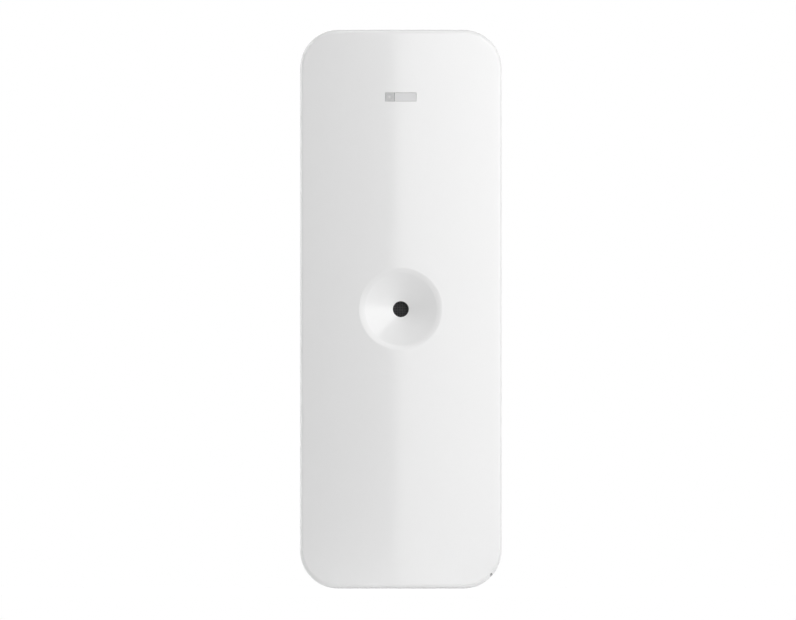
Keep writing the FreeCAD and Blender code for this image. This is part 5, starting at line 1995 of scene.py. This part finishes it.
@dataclass
class PushSwitches:
    """The tamper and pairing switches: black boxes with riveted steel covers and moving buttons."""

    plate_height: float = 0.14
    plate_margin: float = 0.12
    hole_radius: float = 1.95
    rivet_radius: float = 0.42
    rivet_height: float = 0.22
    leg_reach: float = 0.95
    leg_width: float = 0.7
    button_round: float = 0.25

    def build(self, bench: Bench) -> None:
        """Make both switches and both buttons.

        Args:
            bench: the bench that makes them.
        """
        for node, name, button, button_name, body in (
            ("tamper_switch", "tamper_housing", "tamper_plunger", "tamper_stem", Body.TAMPER),
            ("pair_switch", "pair_housing", "pair_button", "pair_stem", Body.PAIR_PUSH),
        ):
            bench.softened(node, name, Body.HOUSING, SWITCH, 0.12)
            self.build_cover(bench, node, name + "_cover")
            self.build_button(bench, button, button_name, body)

    def build_cover(self, bench: Bench, node: str, name: str) -> None:
        """Lay the steel cover on the box, rivet its corners and bend the four legs.

        Args:
            bench: the bench that makes it.
            node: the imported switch.
            name: the piece's name.
        """
        box = NodeBox.of(node)
        half = box.size[0] / 2 - self.plate_margin
        seat = Seat(box.centre[0], box.low[1], box.centre[2])
        top = seat.shifted(0, 0, box.size[1])
        outer = rounded_outline(half, half, 0.3, 11)
        angle = np.arctan2(outer[:, 1], outer[:, 0])
        inner = self.hole_radius * np.stack((np.cos(angle), np.sin(angle)), axis=-1)
        plate = hoop_plate(top, outer, inner, -0.02, self.plate_height)
        share = np.linspace(0, np.pi / 2, 5)
        rivet = np.stack((self.rivet_radius * np.cos(share), self.rivet_height * np.sin(share)), axis=-1)
        rivet = np.concatenate(([(0, -0.02), (self.rivet_radius, -0.02)], rivet))
        rivets, legs, joints = [], [], []
        for side in (-1, 1):
            for end in (-1, 1):
                rivets.append(turned(
                    top.shifted(side * (half - 0.7), end * (half - 0.7), self.plate_height), rivet, 20
                ))
                start = (side * box.size[0] / 2, end * 2.1)
                legs.append(gull_lead(seat, start, (side, 0), self.leg_reach, 1.3, self.leg_width, 0.2))
                joints.append(solder_fillet(
                    seat.shifted(start[0] + side * self.leg_reach * 0.8, start[1]), 0.9, 1.0, 0.2
                ))
        bench.piece(name, Body.HOUSING, [(TIN, [plate] + legs), (SWITCH, rivets), (SOLDER, joints)])

    def build_button(self, bench: Bench, node: str, name: str, body: Body) -> None:
        """Turn one button with a round edge and a shallow dished top.

        Args:
            bench: the bench that makes it.
            node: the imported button.
            name: the piece's name.
            body: the body that it moves with.
        """
        box = NodeBox.of(node)
        radius, height = box.size[0] / 2, box.size[1]
        seat = Seat(box.centre[0], box.low[1], box.centre[2])
        edge = self.button_round
        profile = np.concatenate((
            [(0, 0), (radius - 0.1, 0), (radius, 0.1)],
            arc((radius - edge, height - edge), edge, 0, 90, 5),
            [(radius * 0.7, height - 0.01), (radius * 0.45, height - 0.06), (0, height - 0.08)],
        ))
        bench.piece(name, body, [(IVORY, [turned(seat, profile)])], (node,))


@dataclass
class SensitivitySwitch:
    """The blue two-way slide switch with ribbed white sliders and four legs."""

    rib_depth: float = 0.07
    leg_width: float = 0.6

    def build(self, bench: Bench) -> None:
        """Make the block with its legs, and the sliders.

        Args:
            bench: the bench that makes them.
        """
        bench.softened("sensitivity_switch", "slide_block", Body.HOUSING, SLIDE_BLUE, 0.12)
        box = NodeBox.of("sensitivity_switch")
        seat = Seat(box.centre[0], box.low[1], box.centre[2])
        legs, joints = [], []
        for number, body in ((1, Body.SLIDER_1), (2, Body.SLIDER_2)):
            node = f"sensitivity_slider_{number}"
            knob = NodeBox.of(node)
            across = knob.centre[0] - box.centre[0]
            for end in (-1, 1):
                start = (across, end * box.size[2] / 2)
                legs.append(gull_lead(seat, start, (0, end), 0.9, 0.9, self.leg_width, 0.2))
                joints.append(solder_fillet(seat.shifted(across, start[1] + end * 0.7), 0.85, 0.8, 0.2))
            self.build_slider(bench, node, knob, body, number)
        bench.piece("slide_switch_legs", Body.HOUSING, [(TIN, legs), (SOLDER, joints)])

    def build_slider(self, bench: Bench, node: str, box: NodeBox, body: Body, number: int) -> None:
        """Make one slider: a block whose top carries three grip ribs, a cosine along its length.

        Args:
            bench: the bench that makes it.
            node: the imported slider.
            box: the node's box.
            body: the body that it moves with.
            number: which slider it is.
        """
        width, height, length = box.size
        seat = Seat(box.centre[0], box.low[1], box.centre[2])
        v = np.linspace(-0.5, 0.5, 29)
        edge = np.minimum(1, (0.5 - np.abs(v)) / 0.06)
        top = height - self.rib_depth * (0.5 - 0.5 * np.cos(6 * np.pi * (v + 0.5))) - 0.08 * (1 - edge)
        half = width / 2
        plan_x = np.array((-half, -half, -half + 0.05, half - 0.05, half, half))
        drop = np.array((height, 0.05, 0.0, 0.0, 0.05, height))
        levels = np.where(drop == height, 0.0, top[:, None] - drop)
        rings = seat.points(plan_x[None, :], (v * length)[:, None], levels)
        bench.piece(f"slide_knob_{number}", body, [(SLIDER, [ring_stack(rings)])], (node,))


@dataclass
class Studio:
    """White floor and surround, soft panels and the camera that looks as the photograph does."""

    frame_pixels: tuple[int, int] = (796, 620)
    metres_per_pixel: float = 0.1914 * MM
    object_centre_pixel: tuple[float, float] = (400.8, 309.0)
    distance: float = 3.6
    elevation: float = math.radians(-0.8)
    sensor: float = 0.036
    room_light: float = 0.02
    floor_gap: float = 0.0004
    floor_half: float = 0.6
    floor_glow: float = 0.6

    def build(self) -> None:
        """Make the floor, the world, the lamps and the camera."""
        self.make_floor()
        self.make_world()
        self.make_lamp("key_panel", 38.0, 0.1, 2.0, (3.3, 2.4), 56.0)
        self.make_lamp("side_panel", 48.0, 0.1, 2.0, (0.9, 2.2), 10.5)
        self.make_lamp("left_panel", -100.0, 0.2, 2.0, (1.5, 2.4), 31.0)
        self.make_lamp("back_panel", 200.0, 0.5, 2.2, (2.0, 2.0), 8.0)
        self.make_lamp("top_panel", 0.0, 2.0, 0.5, (2.0, 1.2), 12.0)
        self.make_camera()

    def make_floor(self) -> None:
        """Make a white sheet right under the object."""
        half = self.floor_half
        level = CAD_BOUNDS[0].z - self.floor_gap
        mesh = bpy.data.meshes.new("floor")
        mesh.from_pydata(
            [(-half, -half, level), (half, -half, level), (half, half, level), (-half, half, level)],
            [], [(0, 1, 2, 3)],
        )
        item = bpy.data.objects.new("floor", mesh)
        bpy.context.scene.collection.objects.link(item)
        item.data.materials.append(self.floor_material())

    def white_rays(self, tree: bpy.types.NodeTree) -> bpy.types.NodeSocket:
        """Return a value of 1 for camera, glossy and transmission rays, and 0 for the others.

        Args:
            tree: the nodes that use the value.

        Returns:
            The socket of that value.
        """
        path = tree.nodes.new("ShaderNodeLightPath")
        share = path.outputs["Is Camera Ray"]
        for other in ("Is Glossy Ray", "Is Transmission Ray"):
            most = tree.nodes.new("ShaderNodeMath")
            most.operation = "MAXIMUM"
            tree.links.new(share, most.inputs[0])
            tree.links.new(path.outputs[other], most.inputs[1])
            share = most.outputs["Value"]
        return share

    def floor_material(self) -> bpy.types.Material:
        """Make the sheet's white: it takes the object's shadow, and reads as white where none falls.

        Returns:
            The material, a white diffuse sheet with a plain glow for camera, glossy and transmission rays.
        """
        material = bpy.data.materials.new("floor_white")
        material.use_nodes = True
        tree = material.node_tree
        tree.nodes.clear()
        output = tree.nodes.new("ShaderNodeOutputMaterial")
        sheet = tree.nodes.new("ShaderNodeBsdfDiffuse")
        sheet.inputs["Color"].default_value = (0.95, 0.95, 0.95, 1)
        strength = tree.nodes.new("ShaderNodeMath")
        strength.operation = "MULTIPLY"
        strength.inputs[1].default_value = self.floor_glow
        tree.links.new(self.white_rays(tree), strength.inputs[0])
        glow = tree.nodes.new("ShaderNodeEmission")
        tree.links.new(strength.outputs["Value"], glow.inputs["Strength"])
        both = tree.nodes.new("ShaderNodeAddShader")
        tree.links.new(sheet.outputs["BSDF"], both.inputs[0])
        tree.links.new(glow.outputs["Emission"], both.inputs[1])
        tree.links.new(both.outputs["Shader"], output.inputs["Surface"])
        return material

    def make_world(self) -> None:
        """Make an even sky: white to the eye and to reflections, and softer as a light."""
        world = bpy.data.worlds.new("studio")
        world.use_nodes = True
        tree = world.node_tree
        sky = tree.nodes["Background"]
        sky.inputs["Color"].default_value = (1, 1, 1, 1)
        strength = tree.nodes.new("ShaderNodeMapRange")
        strength.inputs["To Min"].default_value = self.room_light
        strength.inputs["To Max"].default_value = 1.0
        tree.links.new(self.white_rays(tree), strength.inputs["Value"])
        tree.links.new(strength.outputs["Result"], sky.inputs["Strength"])
        bpy.context.scene.world = world

    def make_lamp(
        self, name: str, azimuth: float, height: float, distance: float, size: Sequence[float], power: float
    ) -> None:
        """Add one soft panel that faces the object.

        Args:
            name: the lamp's name.
            azimuth: its direction in degrees from straight in front, positive to the right.
            height: its height above the object's middle, in metres.
            distance: its distance on the plan, in metres.
            size: its width and height in metres.
            power: its strength in watts.
        """
        light = bpy.data.lights.new(name, "AREA")
        light.shape = "RECTANGLE"
        light.size, light.size_y = size
        light.energy = power
        lamp = bpy.data.objects.new(name, light)
        turn = math.radians(azimuth)
        place = Vector((distance * math.sin(turn), -distance * math.cos(turn), height))
        lamp.location = place
        lamp.rotation_euler = (-place).to_track_quat("-Z", "Y").to_euler()
        lamp.visible_camera = False
        bpy.context.scene.collection.objects.link(lamp)

    def make_camera(self) -> None:
        """Set a long lens straight in front, a little below the middle, framed as the photograph is."""
        low, high = CAD_BOUNDS
        centre = (low + high) / 2
        front = Vector((0, low.y, centre.z))
        data = bpy.data.cameras.new("camera")
        data.sensor_width = self.sensor * 1000
        width = self.frame_pixels[0] * self.metres_per_pixel
        data.lens = data.sensor_width * self.distance / width
        camera = bpy.data.objects.new("camera", data)
        back = Vector((0, -math.cos(self.elevation), math.sin(self.elevation)))
        camera.location = front + back * self.distance
        camera.rotation_euler = (-back).to_track_quat("-Z", "Y").to_euler()
        data.shift_x = (self.frame_pixels[0] / 2 - self.object_centre_pixel[0]) / self.frame_pixels[0]
        data.shift_y = (self.object_centre_pixel[1] - self.frame_pixels[1] / 2) / self.frame_pixels[0]
        data.clip_start, data.clip_end = 0.01, 20.0
        bpy.context.scene.collection.objects.link(camera)
        bpy.context.scene.camera = camera


def main() -> None:
    """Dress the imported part, add its fine pieces, light it and set the camera."""
    logging.basicConfig(level=logging.INFO, format="%(message)s")
    bpy.context.scene.view_settings.view_transform = "Standard"
    shop = PaintShop()
    shop.dress_nodes()
    bench = Bench(shop)
    assemblies = (
        SoundPort(), IndicatorWindow(), BoardPrint(), BoardScrews(), CellPack(), RadioSection(), ChipRows(),
        StorageCapacitor(), ServiceHeader(), PushSwitches(), SensitivitySwitch(),
    )
    for assembly in assemblies:
        assembly.build(bench)
    Studio().build()


if __name__ == "__main__":
    main()
